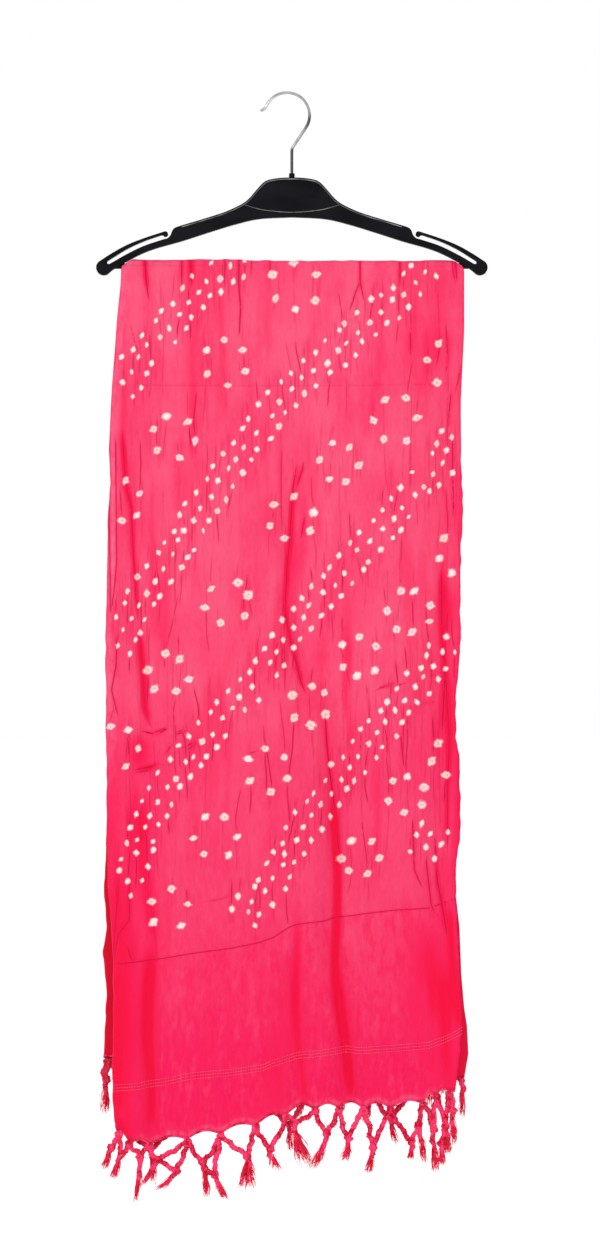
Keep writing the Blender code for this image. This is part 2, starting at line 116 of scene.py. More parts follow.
def dress(tree, shader, colour, roughness, height, distance, strength):
    # what varies over a surface: its colour, its roughness and its bump
    bump = addOut(tree, "ShaderNodeBump", {"Height": height, "Distance": distance, "Strength": strength})
    putInputs(shader, {"Base Color": colour, "Roughness": roughness, "Normal": bump})


def bodyPlace(tree):
    return tree.nodes.new("ShaderNodeTexCoord").outputs["Object"]


def addPiece(name, mesh, finish=None):
    piece = bpy.data.objects.new(name, mesh)
    bpy.context.scene.collection.objects.link(piece)
    if finish:
        mesh.materials.clear()
        mesh.materials.append(finish)
    return piece


def plainMesh(piece, name):
    # the piece with its modifiers applied, as a mesh at the origin
    bpy.context.view_layer.update()
    shaped = piece.evaluated_get(bpy.context.evaluated_depsgraph_get())
    mesh = bpy.data.meshes.new_from_object(shaped)
    mesh.transform(piece.matrix_world)
    mesh.name = name
    return mesh


def settle(piece):
    # modifiers applied and removed, place and turn moved into the mesh
    mesh = plainMesh(piece, piece.name)
    piece.modifiers.clear()
    piece.data = mesh
    piece.matrix_world = Matrix.Identity(4)
    return piece


def addWall(piece, thickness):
    wall = piece.modifiers.new("wall", 'SOLIDIFY')
    wall.thickness = thickness * mm
    wall.offset = 0
    return settle(piece)


def joinPieces(name, pieces):
    # several pieces as one mesh, each keeping its finish
    bm = bmesh.new()
    finishes = []
    for piece in pieces:
        mesh = piece.data
        slots = []
        for finish in mesh.materials:
            if finish not in finishes:
                finishes.append(finish)
            slots.append(finishes.index(finish))
        before = len(bm.faces)
        bm.from_mesh(mesh)
        bm.faces.ensure_lookup_table()
        for face in bm.faces[before:]:
            face.material_index = slots[min(face.material_index, len(slots) - 1)] if slots else 0
    joined = bpy.data.meshes.new(name)
    bm.to_mesh(joined)
    bm.free()
    for finish in finishes:
        joined.materials.append(finish)
    for piece in pieces:
        bpy.data.objects.remove(piece, do_unlink=True)
    return addPiece(name, joined)


def toWorld(points):
    return (np.asarray(points, dtype=float) + np.array([centreX, 0.0, 0.0])) * mm


def gridMesh(name, points):
    # a sheet through a grid of points, and the corners of its faces
    columns, rows = points.shape[:2]
    index = np.arange(columns * rows).reshape(columns, rows)
    corners = [index[:-1, :-1], index[1:, :-1], index[1:, 1:], index[:-1, 1:]]
    faces = np.stack(corners, axis=-1).reshape(-1, 4)
    mesh = bpy.data.meshes.new(name)
    mesh.from_pydata(toWorld(points.reshape(-1, 3)).tolist(), [], faces.tolist())
    mesh.shade_smooth()
    return mesh, faces


def putMap(mesh, name, u, v):
    layer = mesh.uv_layers.new(name=name, do_init=False)
    layer.data.foreach_set("uv", np.stack([np.ravel(u), np.ravel(v)], axis=-1).ravel().astype(np.float32))


def putAttribute(mesh, name, values):
    layer = mesh.attributes.new(name, 'FLOAT', 'POINT')
    layer.data.foreach_set("value", np.asarray(values, dtype=np.float32))


# Soft maths for the cloth.
def tableAt(table, at):
    rows = np.array(table, dtype=float)
    return np.interp(at, rows[:, 0], rows[:, 1])


def softStep(low, high, at):
    t = np.clip((np.asarray(at, dtype=float) - low) / (high - low), 0.0, 1.0)
    return t * t * (3 - 2 * t)


def softNoise(u, v, seed):
    # smooth random swells between -1 and 1, one cell per unit
    lattice = np.random.default_rng(seed).uniform(-1, 1, (97, 89))
    i, j = np.floor(u).astype(int), np.floor(v).astype(int)
    s, t = u - i, v - j
    s, t = s * s * (3 - 2 * s), t * t * (3 - 2 * t)
    i0, i1, j0, j1 = i % 97, (i + 1) % 97, j % 89, (j + 1) % 89
    low = lattice[i0, j0] * (1 - s) + lattice[i1, j0] * s
    high = lattice[i0, j1] * (1 - s) + lattice[i1, j1] * s
    return low * (1 - t) + high * t


def nearPath(x, fall, path):
    # signed distance to a path of (x, fall) points, and how far the place is from the path's ends
    points = np.array(path, dtype=float)
    best = np.full(x.shape, 1e9)
    side = np.ones(x.shape)
    along = np.zeros(x.shape)
    run = 0.0
    for (ax, ay), (bx, by) in zip(points, points[1:]):
        length = math.hypot(bx - ax, by - ay)
        t = np.clip(((x - ax) * (bx - ax) + (fall - ay) * (by - ay)) / length ** 2, 0, 1)
        away = np.hypot(x - ax - t * (bx - ax), fall - ay - t * (by - ay))
        closer = away < best
        best = np.where(closer, away, best)
        side = np.where(closer, np.sign((bx - ax) * (fall - ay) - (by - ay) * (x - ax)), side)
        along = np.where(closer, run + t * length, along)
        run += length
    return best * side, np.minimum(along, run - along)


# How the stole hangs. Edges are (fall below the bar, x) and hems are (x, fall).
frontShape = dict(
    side=-1,
    left=[(-6, -170), (-4, -174.5), (0, -181), (2, -182), (54, -187), (126, -192.3), (198, -195),
          (233, -193.5), (271, -196.5), (409, -198.5), (582, -197.2), (656, -196.5), (700, -193),
          (742, -190.2), (868, -191.3), (897, -190.6), (914, -188.8), (926, -184.5), (940, -181)],
    outerRight=[(-6, 170), (-4, 175), (0, 181.5), (4, 184), (68, 184), (97, 182.6), (140, 180.5),
                (206, 180.5), (257, 182.6), (300, 180.5), (401, 179.6), (471, 174.7), (500, 174.7),
                (528, 178.3), (571, 179.7), (611, 179), (635, 175.4), (671, 174.7), (706, 176.5),
                (757, 178.5), (790, 180.5), (828, 180), (862, 176), (888, 172)],
    innerRight=[(-6, 167), (0, 178), (68, 181), (206, 177.5), (401, 176), (500, 171.5), (571, 176),
                (671, 175), (706, 179), (757, 181), (792, 184), (811, 187), (841, 188.5), (868, 184)],
    outerHem=[(-200, 914), (-186, 923), (-170, 937), (-151, 937), (-111, 930), (-76, 924.5), (-38, 916),
              (-10, 906), (10, 899.5), (66, 897), (108, 897), (136, 893), (154, 884), (190, 875)],
    innerHem=[(-200, 905), (-170, 926), (-111, 921), (-57, 908), (10, 889), (108, 887), (136, 883),
              (190, 863)],
    folds=[   # half width, depth towards the bar, then the path as (fall, x)
        (13, 9, [(455, 35), (548, 42), (640, 45), (720, 43), (776, 51), (842, 58), (960, 64)]),
        (13, -4, [(500, 60), (640, 64), (776, 71), (960, 84)]),
        (9, 5, [(240, -1), (356, -7), (391, -5), (440, 6), (500, 15)]),
        (11, 4, [(197, -178), (249, -173), (335, -167), (410, -160), (510, -146)]),
        (12, 6, [(720, -150), (960, -152)]),
        (13, 5, [(730, 2), (960, 10)]),
        (10, 3.5, [(150, 163), (330, 160), (560, 157), (700, 160)]),
        (60, -4, [(60, -100), (400, -95), (960, -90)]),
        (50, -4, [(60, 95), (400, 100), (960, 120)]),
        (6, 2, [(-6, -155), (52, -152)]),
        (6, 2, [(-6, -108), (40, -107)]),
        (7, 2, [(-6, -41), (45, -38)]),
        (6, 2, [(-6, 74), (50, 74)]),
        (6, 2, [(-6, 115), (36, 116)]),
    ],
    outerColumns=146, turnColumns=4, innerColumns=20, wrapRows=10, rows=262, seed=5,
)
backShape = dict(
    side=1,
    left=[(-6, -170), (-4, -174), (0, -179.5), (54, -183), (271, -192), (500, -195.5), (585, -197.4),
          (640, -200), (671, -201), (708, -198.2), (735, -202.5), (768, -198.6), (800, -199.8),
          (850, -201.8)],
    outerRight=[(-6, 169), (0, 179), (54, 181), (271, 178), (500, 172), (700, 171), (850, 168)],
    innerRight=[(-6, 166), (0, 175), (271, 174), (500, 168), (700, 166), (850, 160)],
    outerHem=[(-205, 846), (-120, 853), (-30, 846), (60, 852), (120, 845), (180, 838)],
    innerHem=[(-205, 843), (-120, 850), (-30, 843), (60, 848), (120, 842), (180, 834)],
    folds=[
        (12, 8, [(380, -30), (560, -36), (720, -44), (880, -50)]),
        (14, -4, [(420, -52), (720, -66), (880, -72)]),
        (14, 6, [(180, 60), (360, 52), (560, 62)]),
        (12, 4, [(300, -165), (560, -160), (880, -166)]),
        (13, 6, [(600, 96), (880, 104)]),
        (45, -4, [(60, -110), (880, -115)]),
        (45, -3, [(60, 20), (880, 30)]),
    ],
    outerColumns=120, turnColumns=4, innerColumns=16, wrapRows=10, rows=220, seed=9,
)
frontKnots = dict(k0=-185.5, k1=-173.4, k2=-151.6, k3=-111, k4=-75.8, k5=-38.4, k6=-6.3, k7=25.2, k8=50.3,
                  k9=76, k10=104.8, k11=140.1, k12=153.8, k13=167.9)
frontShape["outerKnots"] = list(frontKnots.values())
frontShape["innerKnots"] = [-166, -132, -21, 12, 92, 122, 181]
backShape["outerKnots"] = [-196, -164, -131, -99, -66, -32, 1, 34, 68, 101, 133, 162]
backShape["innerKnots"] = [-150, -112, -4, 32, 108, 146]
hangRules = dict(turn=2.0, ridgeGap=0.045, scallop=6.0, wobbleLeft=0.9, wobbleRight=1.1)
# How far the layers hang from the bar's middle plane, and how far they stay from one another.
clothDepth = dict(outer=5.6, outerMiddle=7.0, outerLow=6.4, inner=3.9, innerShare=0.2,
                  gap=1.7, gapBelowBar=1.5, gapAtHem=2.0)


def foldDepth(folds, x, fall):
    total = np.zeros(np.shape(x))
    for width, depth, path in folds:
        first, last = path[0][0], path[-1][0]
        fade = softStep(first - 25, first + 35, fall) * (1 - softStep(last - 35, last + 25, fall))
        away = (x - tableAt(path, fall)) / width
        total += depth * fade * np.exp(-away * away)
    return total


def standOff(fall):
    return (clothDepth["outer"] + clothDepth["outerMiddle"] * softStep(20, 300, fall)
            + clothDepth["outerLow"] * softStep(250, 700, fall))


def innerStandOff(fall):
    return clothDepth["inner"] + clothDepth["innerShare"] * (standOff(fall) - clothDepth["outer"])


def leastGap(fall):
    return (clothDepth["gap"] + clothDepth["gapBelowBar"] * softStep(0, 60, fall)
            + clothDepth["gapAtHem"] * softStep(600, 820, fall))


def scallop(knots, x):
    rise = np.zeros(np.shape(x))
    for left, right in zip(knots, knots[1:]):
        inside = (x >= left) & (x <= right)
        rise = np.where(inside, hangRules["scallop"] * np.sin(np.pi * (x - left) / (right - left)), rise)
    return rise


def edgeToEdge(shape, layer, across, fall):
    free = softStep(0, 500, fall)               # both edges are a little uneven
    left = tableAt(shape["left"], fall) + hangRules["turn"]
    left = left + free * hangRules["wobbleLeft"] * softNoise(fall / 12 + 40, fall / 35 + 40, 92)
    right = tableAt(shape[layer + "Right"], fall)
    if layer == "outer":
        right = right + free * hangRules["wobbleRight"] * softNoise(fall / 9 + 40, fall / 31 + 40, 91)
    return left + across * (right - left)


def hemFall(shape, layer, x):
    fall = tableAt(shape[layer + "Hem"], x)
    return fall - scallop(shape["outerKnots"], x) if layer == "outer" else fall


def layerPoints(shape, layer, across, down, relief=None):
    # places on one layer: across is 0 at the fold and 1 at the open edge,
    # down is -1 on top of the bar, 0 below it and 1 at the hem
    fall = np.zeros(across.shape)
    for guess in range(3):
        x = edgeToEdge(shape, layer, across, fall)
        fall = np.maximum(down, 0) * hemFall(shape, layer, x)
    y = innerStandOff(fall)
    if layer == "outer":
        y = np.maximum(standOff(fall) - foldDepth(shape["folds"], x, fall), y + leastGap(fall))
    onBar = down < 0
    radius = float(innerStandOff(0.0) if layer == "inner" else standOff(0.0))
    angle = np.where(onBar, math.pi / 2 * -down, 0.0)
    fall = np.where(onBar, -radius * np.sin(angle), fall)
    y = np.where(onBar, radius * np.cos(angle), y)
    x = edgeToEdge(shape, layer, across, fall)
    travel = np.where(onBar, -radius * angle, fall)
    if relief is not None:
        raised = relief(x, travel) * np.where(onBar, 0.6, 1.0)
        y = y + raised * np.cos(angle)
        fall = fall - raised * np.sin(angle)
        if layer == "outer":
            y = np.where(onBar, y, np.maximum(y, innerStandOff(fall) + 0.8 * leastGap(fall)))
    return np.stack([x, shape["side"] * y, barZ - fall], axis=-1), travel


def clothGrid(shape, reliefs):
    # the whole panel as a grid: the outer layer, round the lengthwise fold and back along the inner layer
    downs = np.concatenate([np.linspace(-1 + hangRules["ridgeGap"], -0.02, shape["wrapRows"]),
                            np.linspace(0, 1, shape["rows"])])
    outerAcross = np.linspace(1, 0, shape["outerColumns"])
    innerAcross = np.linspace(0, 1, shape["innerColumns"])
    outer, outerTravel = layerPoints(shape, "outer", *np.meshgrid(outerAcross, downs, indexing="ij"),
                                     reliefs["outer"])
    inner, innerTravel = layerPoints(shape, "inner", *np.meshgrid(innerAcross, downs, indexing="ij"),
                                     reliefs["inner"])
    middle, half = (outer[-1] + inner[0]) / 2, (outer[-1] - inner[0]) / 2
    reach = np.minimum(np.linalg.norm(half, axis=1), hangRules["turn"])
    turns, turnTravel = [], []
    for part in np.linspace(0, 1, shape["turnColumns"] + 2)[1:-1]:
        point = middle + half * math.cos(math.pi * part)
        point[:, 0] -= reach * math.sin(math.pi * part)
        turns.append(point)
        turnTravel.append(outerTravel[-1] * (1 - part) + innerTravel[0] * part)
    points = np.concatenate([outer, np.array(turns), inner])
    travel = np.concatenate([outerTravel, np.array(turnTravel), innerTravel])
    layer = np.concatenate([np.zeros(len(outer)), np.linspace(0.2, 0.8, len(turns)), np.ones(len(inner))])
    return points, travel, layer


# The tie-dye: rows and rings of tied dots, laid out by rule.
dotRules = dict(rowGap=14.5, spacing=15.8, rowDot=3.3, ringDot=4.75, jitter=1.7, missing=0.04)
# Lines that the triple rows follow, as (x, fall).
bandPaths = [
    [(-183.7, 133.2), (-158.1, 93.7), (-128.1, 63.8), (-106.8, 33.9), (-92.9, 18.9), (-64, 2.9),
     (-51.2, -4.6)],
    [(-184.8, 412.5), (-177.3, 386), (-167.7, 369), (-149.5, 342.4), (-128.1, 309.5), (-105.7, 274.5),
     (-82.2, 237.3), (-55.5, 198), (-29.8, 166.1), (-5.2, 137.4), (10.8, 120.5), (45, 93.7), (64.2, 75.6),
     (88.8, 54.2), (111.3, 37.1), (128.4, 17.9), (147.6, -1.4)],
    [(-181.6, 661.6), (-169.8, 648.8), (-162.3, 610.3), (-144.2, 572.9), (-121.7, 540), (-92.9, 506),
     (-64, 470.9), (-34.1, 440.1), (-6.3, 396.6), (19.3, 365.8), (51.4, 330.7), (81.3, 295.7),
     (112.3, 266), (132.6, 240.5), (155.1, 218.2), (169, 194.8), (174.3, 182.1)],
    [(-54.4, 693.7), (-42.6, 678.7), (-30.9, 671.3), (-9.5, 636), (7.6, 605), (34.3, 571.9), (56.7, 540),
     (81.3, 510.2), (103.8, 485.8), (119.8, 462.4), (144.4, 437), (160.4, 414.6), (164.7, 396.6)],
    [(140.1, 628.5), (146.5, 611.4), (154, 594.3)],
]
# Rings: x, fall, radius, dots.
rings = [(3.3, 22.1, 25.6, 6), (-71.5, 103.4, 23.5, 6), (-127.1, 182.1, 23.5, 6), (110.2, 164, 24.6, 6),
         (166.8, 104.4, 22.4, 5), (49.3, 210.7, 21.4, 6), (0.1, 270.2, 23.5, 6), (-181.6, 251.1, 22.4, 6),
         (176.4, 306.3, 21.4, 6), (-68.3, 359.4, 24.6, 6), (126.2, 369, 23.5, 7), (71.7, 417.8, 21.4, 6),
         (-131.3, 435.9, 21.4, 6), (18.3, 468.8, 21.4, 6), (-186.9, 513.4, 22.4, 6),
         (-25.5, 537.9, 23.5, 6), (171.1, 524, 21.4, 6), (123, 564.4, 20.3, 6), (-81.1, 609.3, 23.5, 6),
         (-130.3, 686.2, 21.4, 5), (72.8, 630.6, 20.3, 6)]
backBands = [
    [(-51, 3), (40, 118), (120, 224), (182, 300)],
    [(-188, 82), (-90, 214), (0, 330), (90, 452), (180, 566)],
    [(-190, 340), (-100, 458), (0, 592), (20, 618)],
]
backRings = [(-130, 40, 23, 6), (120, 90, 22, 6), (-20, 172, 23, 6), (-148, 236, 21, 6), (100, 312, 23, 6),
             (10, 246, 20, 6), (-70, 372, 23, 6), (160, 436, 21, 6), (-160, 470, 22, 6), (30, 470, 22, 6),
             (-60, 560, 22, 6), (120, 600, 21, 6), (-150, 618, 21, 5)]


def dotsInRows(paths, seed):
    # each dot: x, fall, size, 1 in a ring, a random share for its stain, its turn and its thinness
    rng = random.Random(seed)
    dots = []
    for path in paths:
        points = np.array(path, dtype=float)
        runs = np.concatenate([[0], np.cumsum(np.hypot(*np.diff(points, axis=0).T))])

        def along(run):
            return np.array([np.interp(run, runs, points[:, 0]), np.interp(run, runs, points[:, 1])])

        for row in (-1, 0, 1):
            at = dotRules["spacing"] * (0.5 if row == 0 else 0.0)
            while at < runs[-1]:
                x, fall = along(at)
                dx, dy = along(min(at + 8, runs[-1])) - along(max(at - 8, 0))
                length = math.hypot(dx, dy)
                shift = row * dotRules["rowGap"]
                place = (x - dy / length * shift + rng.gauss(0, dotRules["jitter"]),
                         fall + dx / length * shift + rng.gauss(0, dotRules["jitter"]))
                size = dotRules["rowDot"] * rng.uniform(0.8, 1.2)
                if rng.random() > dotRules["missing"]:
                    looks = rng.random(), rng.gauss(0.25, 0.3), rng.uniform(0.6, 0.92)
                    dots.append((*place, size, 0.0, *looks))
                at += dotRules["spacing"] * rng.uniform(0.92, 1.08)
    return dots


def dotsInRings(rows, seed):
    rng = random.Random(seed)
    dots = []
    for x, fall, radius, count in rows:
        first = rng.uniform(0, 2 * math.pi)
        for k in range(count):
            angle = first + 2 * math.pi * k / count + rng.gauss(0, 0.09)
            reach = radius * rng.uniform(0.92, 1.06)
            place = (x + reach * math.cos(angle), fall + reach * math.sin(angle))
            size = dotRules["ringDot"] * rng.uniform(0.86, 1.14)
            looks = rng.random(), rng.gauss(1.05, 0.4), rng.uniform(0.66, 0.95)
            dots.append((*place, size, 1.0, *looks))
    return dots


def nearestDot(x, fall, dots):
    # the dot that each place belongs to; cells are taller than wide
    dots = np.array(dots)
    found = np.zeros(x.size, dtype=int)
    flatX, flatFall = x.ravel(), fall.ravel()
    for start in range(0, x.size, 6000):
        part = slice(start, start + 6000)
        sideways = 2.1 * (flatX[part, None] - dots[None, :, 0])
        found[part] = (sideways ** 2 + (flatFall[part, None] - dots[None, :, 1]) ** 2).argmin(axis=1)
    return found.reshape(x.shape)


# Creases, listed one by one.
creaseParts = ("width", "depth", "shade", "line", "path")


def creaseRows(table):
    return [dict(zip(creaseParts, row)) for row in table]


# Half width, depth, redness as painted shade and dark line as painted shade of each crease, then its path
# as (x, fall).
frontCreases = creaseRows([
    # the pleat down the middle
    (2.2, 1.2, 0.5, 1, [(35.4, 479.4), (37.5, 510.2), (39.6, 532.5), (43.9, 565.5), (46.1, 582.6)]),
    (4, 2.4, 1, 0, [(42.9, 561.2), (47.1, 609.3), (49.3, 652), (48.7, 694.8), (46.1, 737.5),
     (46.6, 764.2), (50.3, 791), (54.6, 814.5), (58.9, 846.5), (64.2, 897.8)]),
    (1.9, 1.1, 0.85, 0.75, [(1.2, 235.2), (-0.4, 263.8), (-2.6, 295.7), (-5.2, 322.2), (-6.8, 354.1),
     (-6.3, 375.4), (-1, 401.9), (5.5, 426.3), (9.7, 443.3), (15.1, 458.2)]),
    (2.5, 0.6, 0.3, 0.6, [(-8.4, 396.6), (-7.4, 423.1), (-7.4, 455)]),
    # puckers at the rings
    (1.6, 0.5, 0.25, 0.5, [(-11.1, 194.8), (-11.3, 226.7), (-11.6, 247.9), (-10.6, 285.1)]),
    (2, 0.6, 0.4, 0.8, [(5.5, 211.8), (3.3, 222.4), (1.2, 237.3), (0.1, 253.2)]),
    (2, 0.6, 0.4, 0.8, [(12.4, 207.5), (11.9, 216), (8.7, 225.6), (4.4, 239.4)]),
    (1.8, 0.6, 0.3, 0.7, [(14, 266), (11.9, 279.8), (9.7, 292.5)]),
    # folds at the rolled left edge
    (2.4, 1.2, 0.75, 0.5, [(-181.6, 173.6), (-179.4, 199), (-177.3, 234.1), (-170.9, 258.5),
     (-169.3, 303.1), (-166.6, 340.3), (-163.4, 381.7)]),
    (3.4, 1.8, 1, 0.4, [(-163.4, 381.7), (-160.7, 413.6), (-158.6, 438), (-157, 470.9), (-152.7, 486.9),
     (-147.8, 495.4)]),
    (1.4, 0.5, 0.2, 0.9, [(-194.9, 173.6), (-194.6, 269.1), (-193.9, 316.9), (-192.9, 373.2)]),
    (1.4, 0.5, 0.2, 0.8, [(-188, 184.2), (-187.3, 269.1), (-186.9, 316.9), (-189.8, 348.8),
     (-192.9, 373.2)]),
    (1.8, 0.7, 0.3, 0.9, [(-186.2, 394.5), (-187.3, 426.3), (-192.3, 452.9), (-189.8, 462.4),
     (-184.9, 481.6)]),
    (1.6, 0.5, 0.2, 0.8, [(-176.4, 500.7), (-174.1, 510.2), (-172.8, 525.1)]),
    # short wrinkles to the left
    (1.8, 1.04, 0.36, 1, [(-161.8, 496), (-147.4, 499.6), (-137.8, 497.3), (-127.8, 490.1)]),
    (1.8, 0.78, 0.32, 0.72, [(-127.8, 501.7), (-120.7, 497.5), (-113.2, 493.2)]),
    (1.8, 0.78, 0.32, 1, [(-116.9, 515.3), (-108.4, 510.2), (-101.1, 508.1)]),
    (1.8, 0.65, 0.21, 0.72, [(-135.1, 522.6), (-132.7, 517.7), (-126.6, 510.2)]),
    (1.8, 1.04, 0.42, 0.96, [(-169.2, 538.3), (-152.2, 534.7), (-135.1, 532.2)]),
    # lower left corner
    (9, 0.8, 0.5, 0, [(-164.5, 492.2), (-161.3, 515.5), (-163.4, 543.2)]),
    (6, 1, 0.45, 0, [(-158.4, 555.9), (-157, 643.5), (-151.6, 684.1), (-147.4, 716.1), (-145.2, 738.6)]),
    (1.6, 0.4, 0.1, 0.35, [(-151.1, 678.7), (-148.4, 691.6), (-143.1, 739.2)]),
    (6, 1.4, 0.72, 0, [(-147.4, 716.1), (-150.6, 753.5), (-152.7, 784.2), (-152.7, 826.2),
     (-149.5, 871.1), (-148.4, 897.8), (-151.6, 940.6)]),
    (4, 0.7, 0.4, 0, [(-184.8, 748.2), (-186.9, 791), (-185.8, 844.4), (-184.8, 908.5)]),
    (1.6, 0.6, 0.2, 0.6, [(-183.7, 652), (-188, 702.3), (-190.3, 738.6)]),
    (1.8, 0.6, 0.2, 0.6, [(-172.5, 685.2), (-174.1, 700.1), (-183.7, 710.8), (-186.9, 724.7),
     (-189.1, 741.8)]),
    (1.8, 0.6, 0.2, 0.8, [(-175.2, 724.7), (-170.9, 739.2), (-166.6, 741.8)]),
    # soft folds in the border
    (5.5, 1.2, 0.7, 0, [(7.6, 678.7), (4.4, 764.2), (5.5, 812.3), (8.7, 844.4), (12.9, 871.1),
     (17.2, 913.9)]),
    (11, 0.6, 0.4, 0, [(-9.5, 716.1), (-11.6, 780.3), (-13.8, 844.4), (-17, 897.8)]),
    (7, 0.8, 0.5, 0, [(49.5, 740.2), (53.6, 791), (58.6, 830), (62.5, 860), (66, 897.8)]),
    # broad redder stretches of painted shade, with no relief
    (13, 0, 0.34, 0, [(-108.9, -55.9), (-102.5, 35), (-103.6, 141.7), (-108.9, 216)]),
    (10, 0, 0.2, 0, [(-32, -71.9), (-30.9, 35), (-25.5, 120.5)]),
    (36, 0, 0.26, 0, [(142.2, -93.3), (147.6, 141.7), (151.9, 396.6), (158.3, 737.5)]),
    (10, 0, 0.22, 0, [(115.5, -71.9), (124.1, 35), (126.2, 141.7)]),
    (12, 0, 0.22, 0, [(-185.8, 162.9), (-185.8, 311.6), (-183.7, 460.3), (-179.4, 673.4)]),
    (24, 0, 0.36, 0, [(-147.6, 440.3), (-145.8, 566.5), (-148.6, 673.4), (-164.3, 780.3), (-170, 930)]),
    (15, 0, 0.6, 0, [(-186, 600), (-182, 780), (-170, 1010)]),
    (15, 0, 0.6, 0, [(-26, 800), (-22, 1010)]),
    (12, 0, 0.2, 0, [(56.7, 311.6), (60, 460.3), (62.1, 630.6)]),
    (20, 0, 0.6, 0, [(144, 673.4), (160, 780.3), (172, 960)]),
    # creases at the right edge
    (1.6, 0.5, 0.2, 0.7, [(171.1, -9.9), (172.2, 8.2), (175.4, 20)]),
    (1.6, 0.5, 0.25, 0.7, [(157, 61.7), (158.3, 85.7), (154, 107.1)]),
    (1.6, 0.5, 0.25, 0.7, [(164.2, 61.7), (166.3, 93.7), (164.7, 115.1)]),
    (1.6, 0.6, 0.3, 0.9, [(170, 133.7), (167.7, 160.3), (166.3, 181.5)]),
    (1.6, 0.6, 0.3, 0.9, [(171.6, 178.9), (171.6, 226.7), (173, 279.8)]),
    (1.6, 0.5, 0.2, 0.6, [(164.2, 234.6), (166.3, 274.5), (165.8, 290.4)]),
    (1.5, 0.5, 0.2, 0.8, [(126.2, 64.3), (126.7, 96.9)]),
    (1.5, 0.5, 0.2, 0.6, [(116.6, 290.4), (116.1, 343.5)]),
    (1.5, 0.5, 0.2, 0.7, [(180.7, 104.4), (177, 125.8), (173.8, 136.4)]),
    (2.3, 1.2, 0.6, 0.7, [(159.3, 322.2), (160.4, 396.6), (164.7, 449.7), (167.9, 502.8), (165.8, 566.5),
     (165.8, 620)]),
    # both lower corners
    (3, 0.6, 0.3, 0, [(-184.8, 906.4), (-181.6, 917.1), (-175.2, 925.6)]),
    (4, 1, 0.6, 0.2, [(166.8, 673.4), (171.1, 737.5), (176.4, 780.3), (179.6, 823)]),
    # more wrinkles and creases, mostly at the right
    (1.8, 0.78, 0.32, 0.72, [(-168.7, 541), (-155.9, 538.9), (-145.2, 535.7)]),
    (2, 0.5, 0.25, 0.7, [(-48, 530.4), (-44.8, 519.8), (-35.2, 517.7)]),
    (2, 0.6, 0.3, 0.7, [(87.7, 453.9), (102.7, 447.6), (124.1, 446.1)]),
    (2, 0.5, 0.2, 0.5, [(127.3, 470.9), (141.2, 466.7), (154, 465.6)]),
    (1.8, 0.6, 0.4, 0.9, [(163.6, 438), (161.5, 470.9), (160.4, 497.5)]),
    (1.8, 0.5, 0.3, 0.9, [(149.7, 479.4), (150.8, 499.6), (150.8, 520.9)]),
    (1.8, 0.5, 0.3, 0.8, [(115.5, 497.5), (117.7, 518.7), (119.8, 537.9)]),
    (1.8, 0.5, 0.3, 0.6, [(118.7, 460.3), (118.7, 480.5), (118.7, 520.9)]),
    (1.8, 0.5, 0.3, 0.7, [(79.2, 445.4), (83.5, 480.5)]),
    (2, 0.7, 0.4, 0.9, [(128.4, 589), (130.5, 644.5), (139, 663.8)]),
    (2, 0.7, 0.4, 0.9, [(142.2, 626.4), (148.7, 683), (152.9, 690.5)]),
    (2.2, 0.8, 0.5, 0.9, [(151.9, 606.1), (155.1, 656.3), (160.4, 684.1), (165.8, 715.1)]),
    (1.8, 0.5, 0.3, 0.7, [(-173, 654.2), (-173, 698)]),
    (2, 0.7, 0.3, 0.9, [(-149.5, 498.6), (-138.8, 495.4), (-128.1, 490.1)]),
    (2, 0.6, 0.3, 0.8, [(-127.1, 500.7), (-117.5, 498.6), (-108.9, 493.2)]),
    (2, 0.6, 0.3, 0.7, [(-116.4, 517.7), (-107.8, 514.5), (-100.4, 507.1)]),
    (2.2, 0.7, 0.3, 0.8, [(-169.8, 537.9), (-153.8, 535.7), (-138.8, 531.5)]),
    (2, 0.6, 0.3, 0.8, [(88.8, 452.9), (97.4, 448.6), (114.5, 446.5)]),
    (2.2, 0.5, 0.2, 0.4, [(-92.9, 678.7), (-76.8, 675.5), (-64, 671.3)]),
    # tucks where the cloth leaves the bar
    (3, 1.1, 0.9, 1, [(-158.1, -26), (-155.9, 12.5), (-152.7, 37.1)]),
    (2, 0.7, 0.6, 0.8, [(-117.5, -26), (-117.5, 23.2)]),
    (2.6, 1, 0.9, 0.9, [(-108.9, -26), (-106.8, 23.2)]),
    (2, 0.7, 0.4, 0.8, [(-71.5, -26), (-71.5, 24.3)]),
    (2.2, 0.9, 0.5, 0.9, [(-56.5, -26), (-56.5, 22.1), (-54.4, 45.6), (-56.5, 75.6)]),
    (1.8, 0.5, 0.3, 0.7, [(-49.1, -26), (-50.1, 9.3)]),
    (1.8, 0.5, 0.3, 0.6, [(-42.6, -26), (-43.7, 13.6)]),
    (1.8, 0.5, 0.3, 0.6, [(-23.4, -26), (-23.4, 16.8)]),
    (2.2, 0.9, 0.6, 0.9, [(72.8, -26), (72.8, 15.7), (77.1, 38.2)]),
    (2, 0.7, 0.4, 0.8, [(72.8, 15.7), (67.4, 30.7), (61, 49.9)]),
    (1.8, 0.6, 0.4, 0.7, [(115.5, -26), (115.5, 24.3)]),
    (1.8, 0.8, 0.5, 0.9, [(173.2, -26), (176.4, 17.9)]),
])
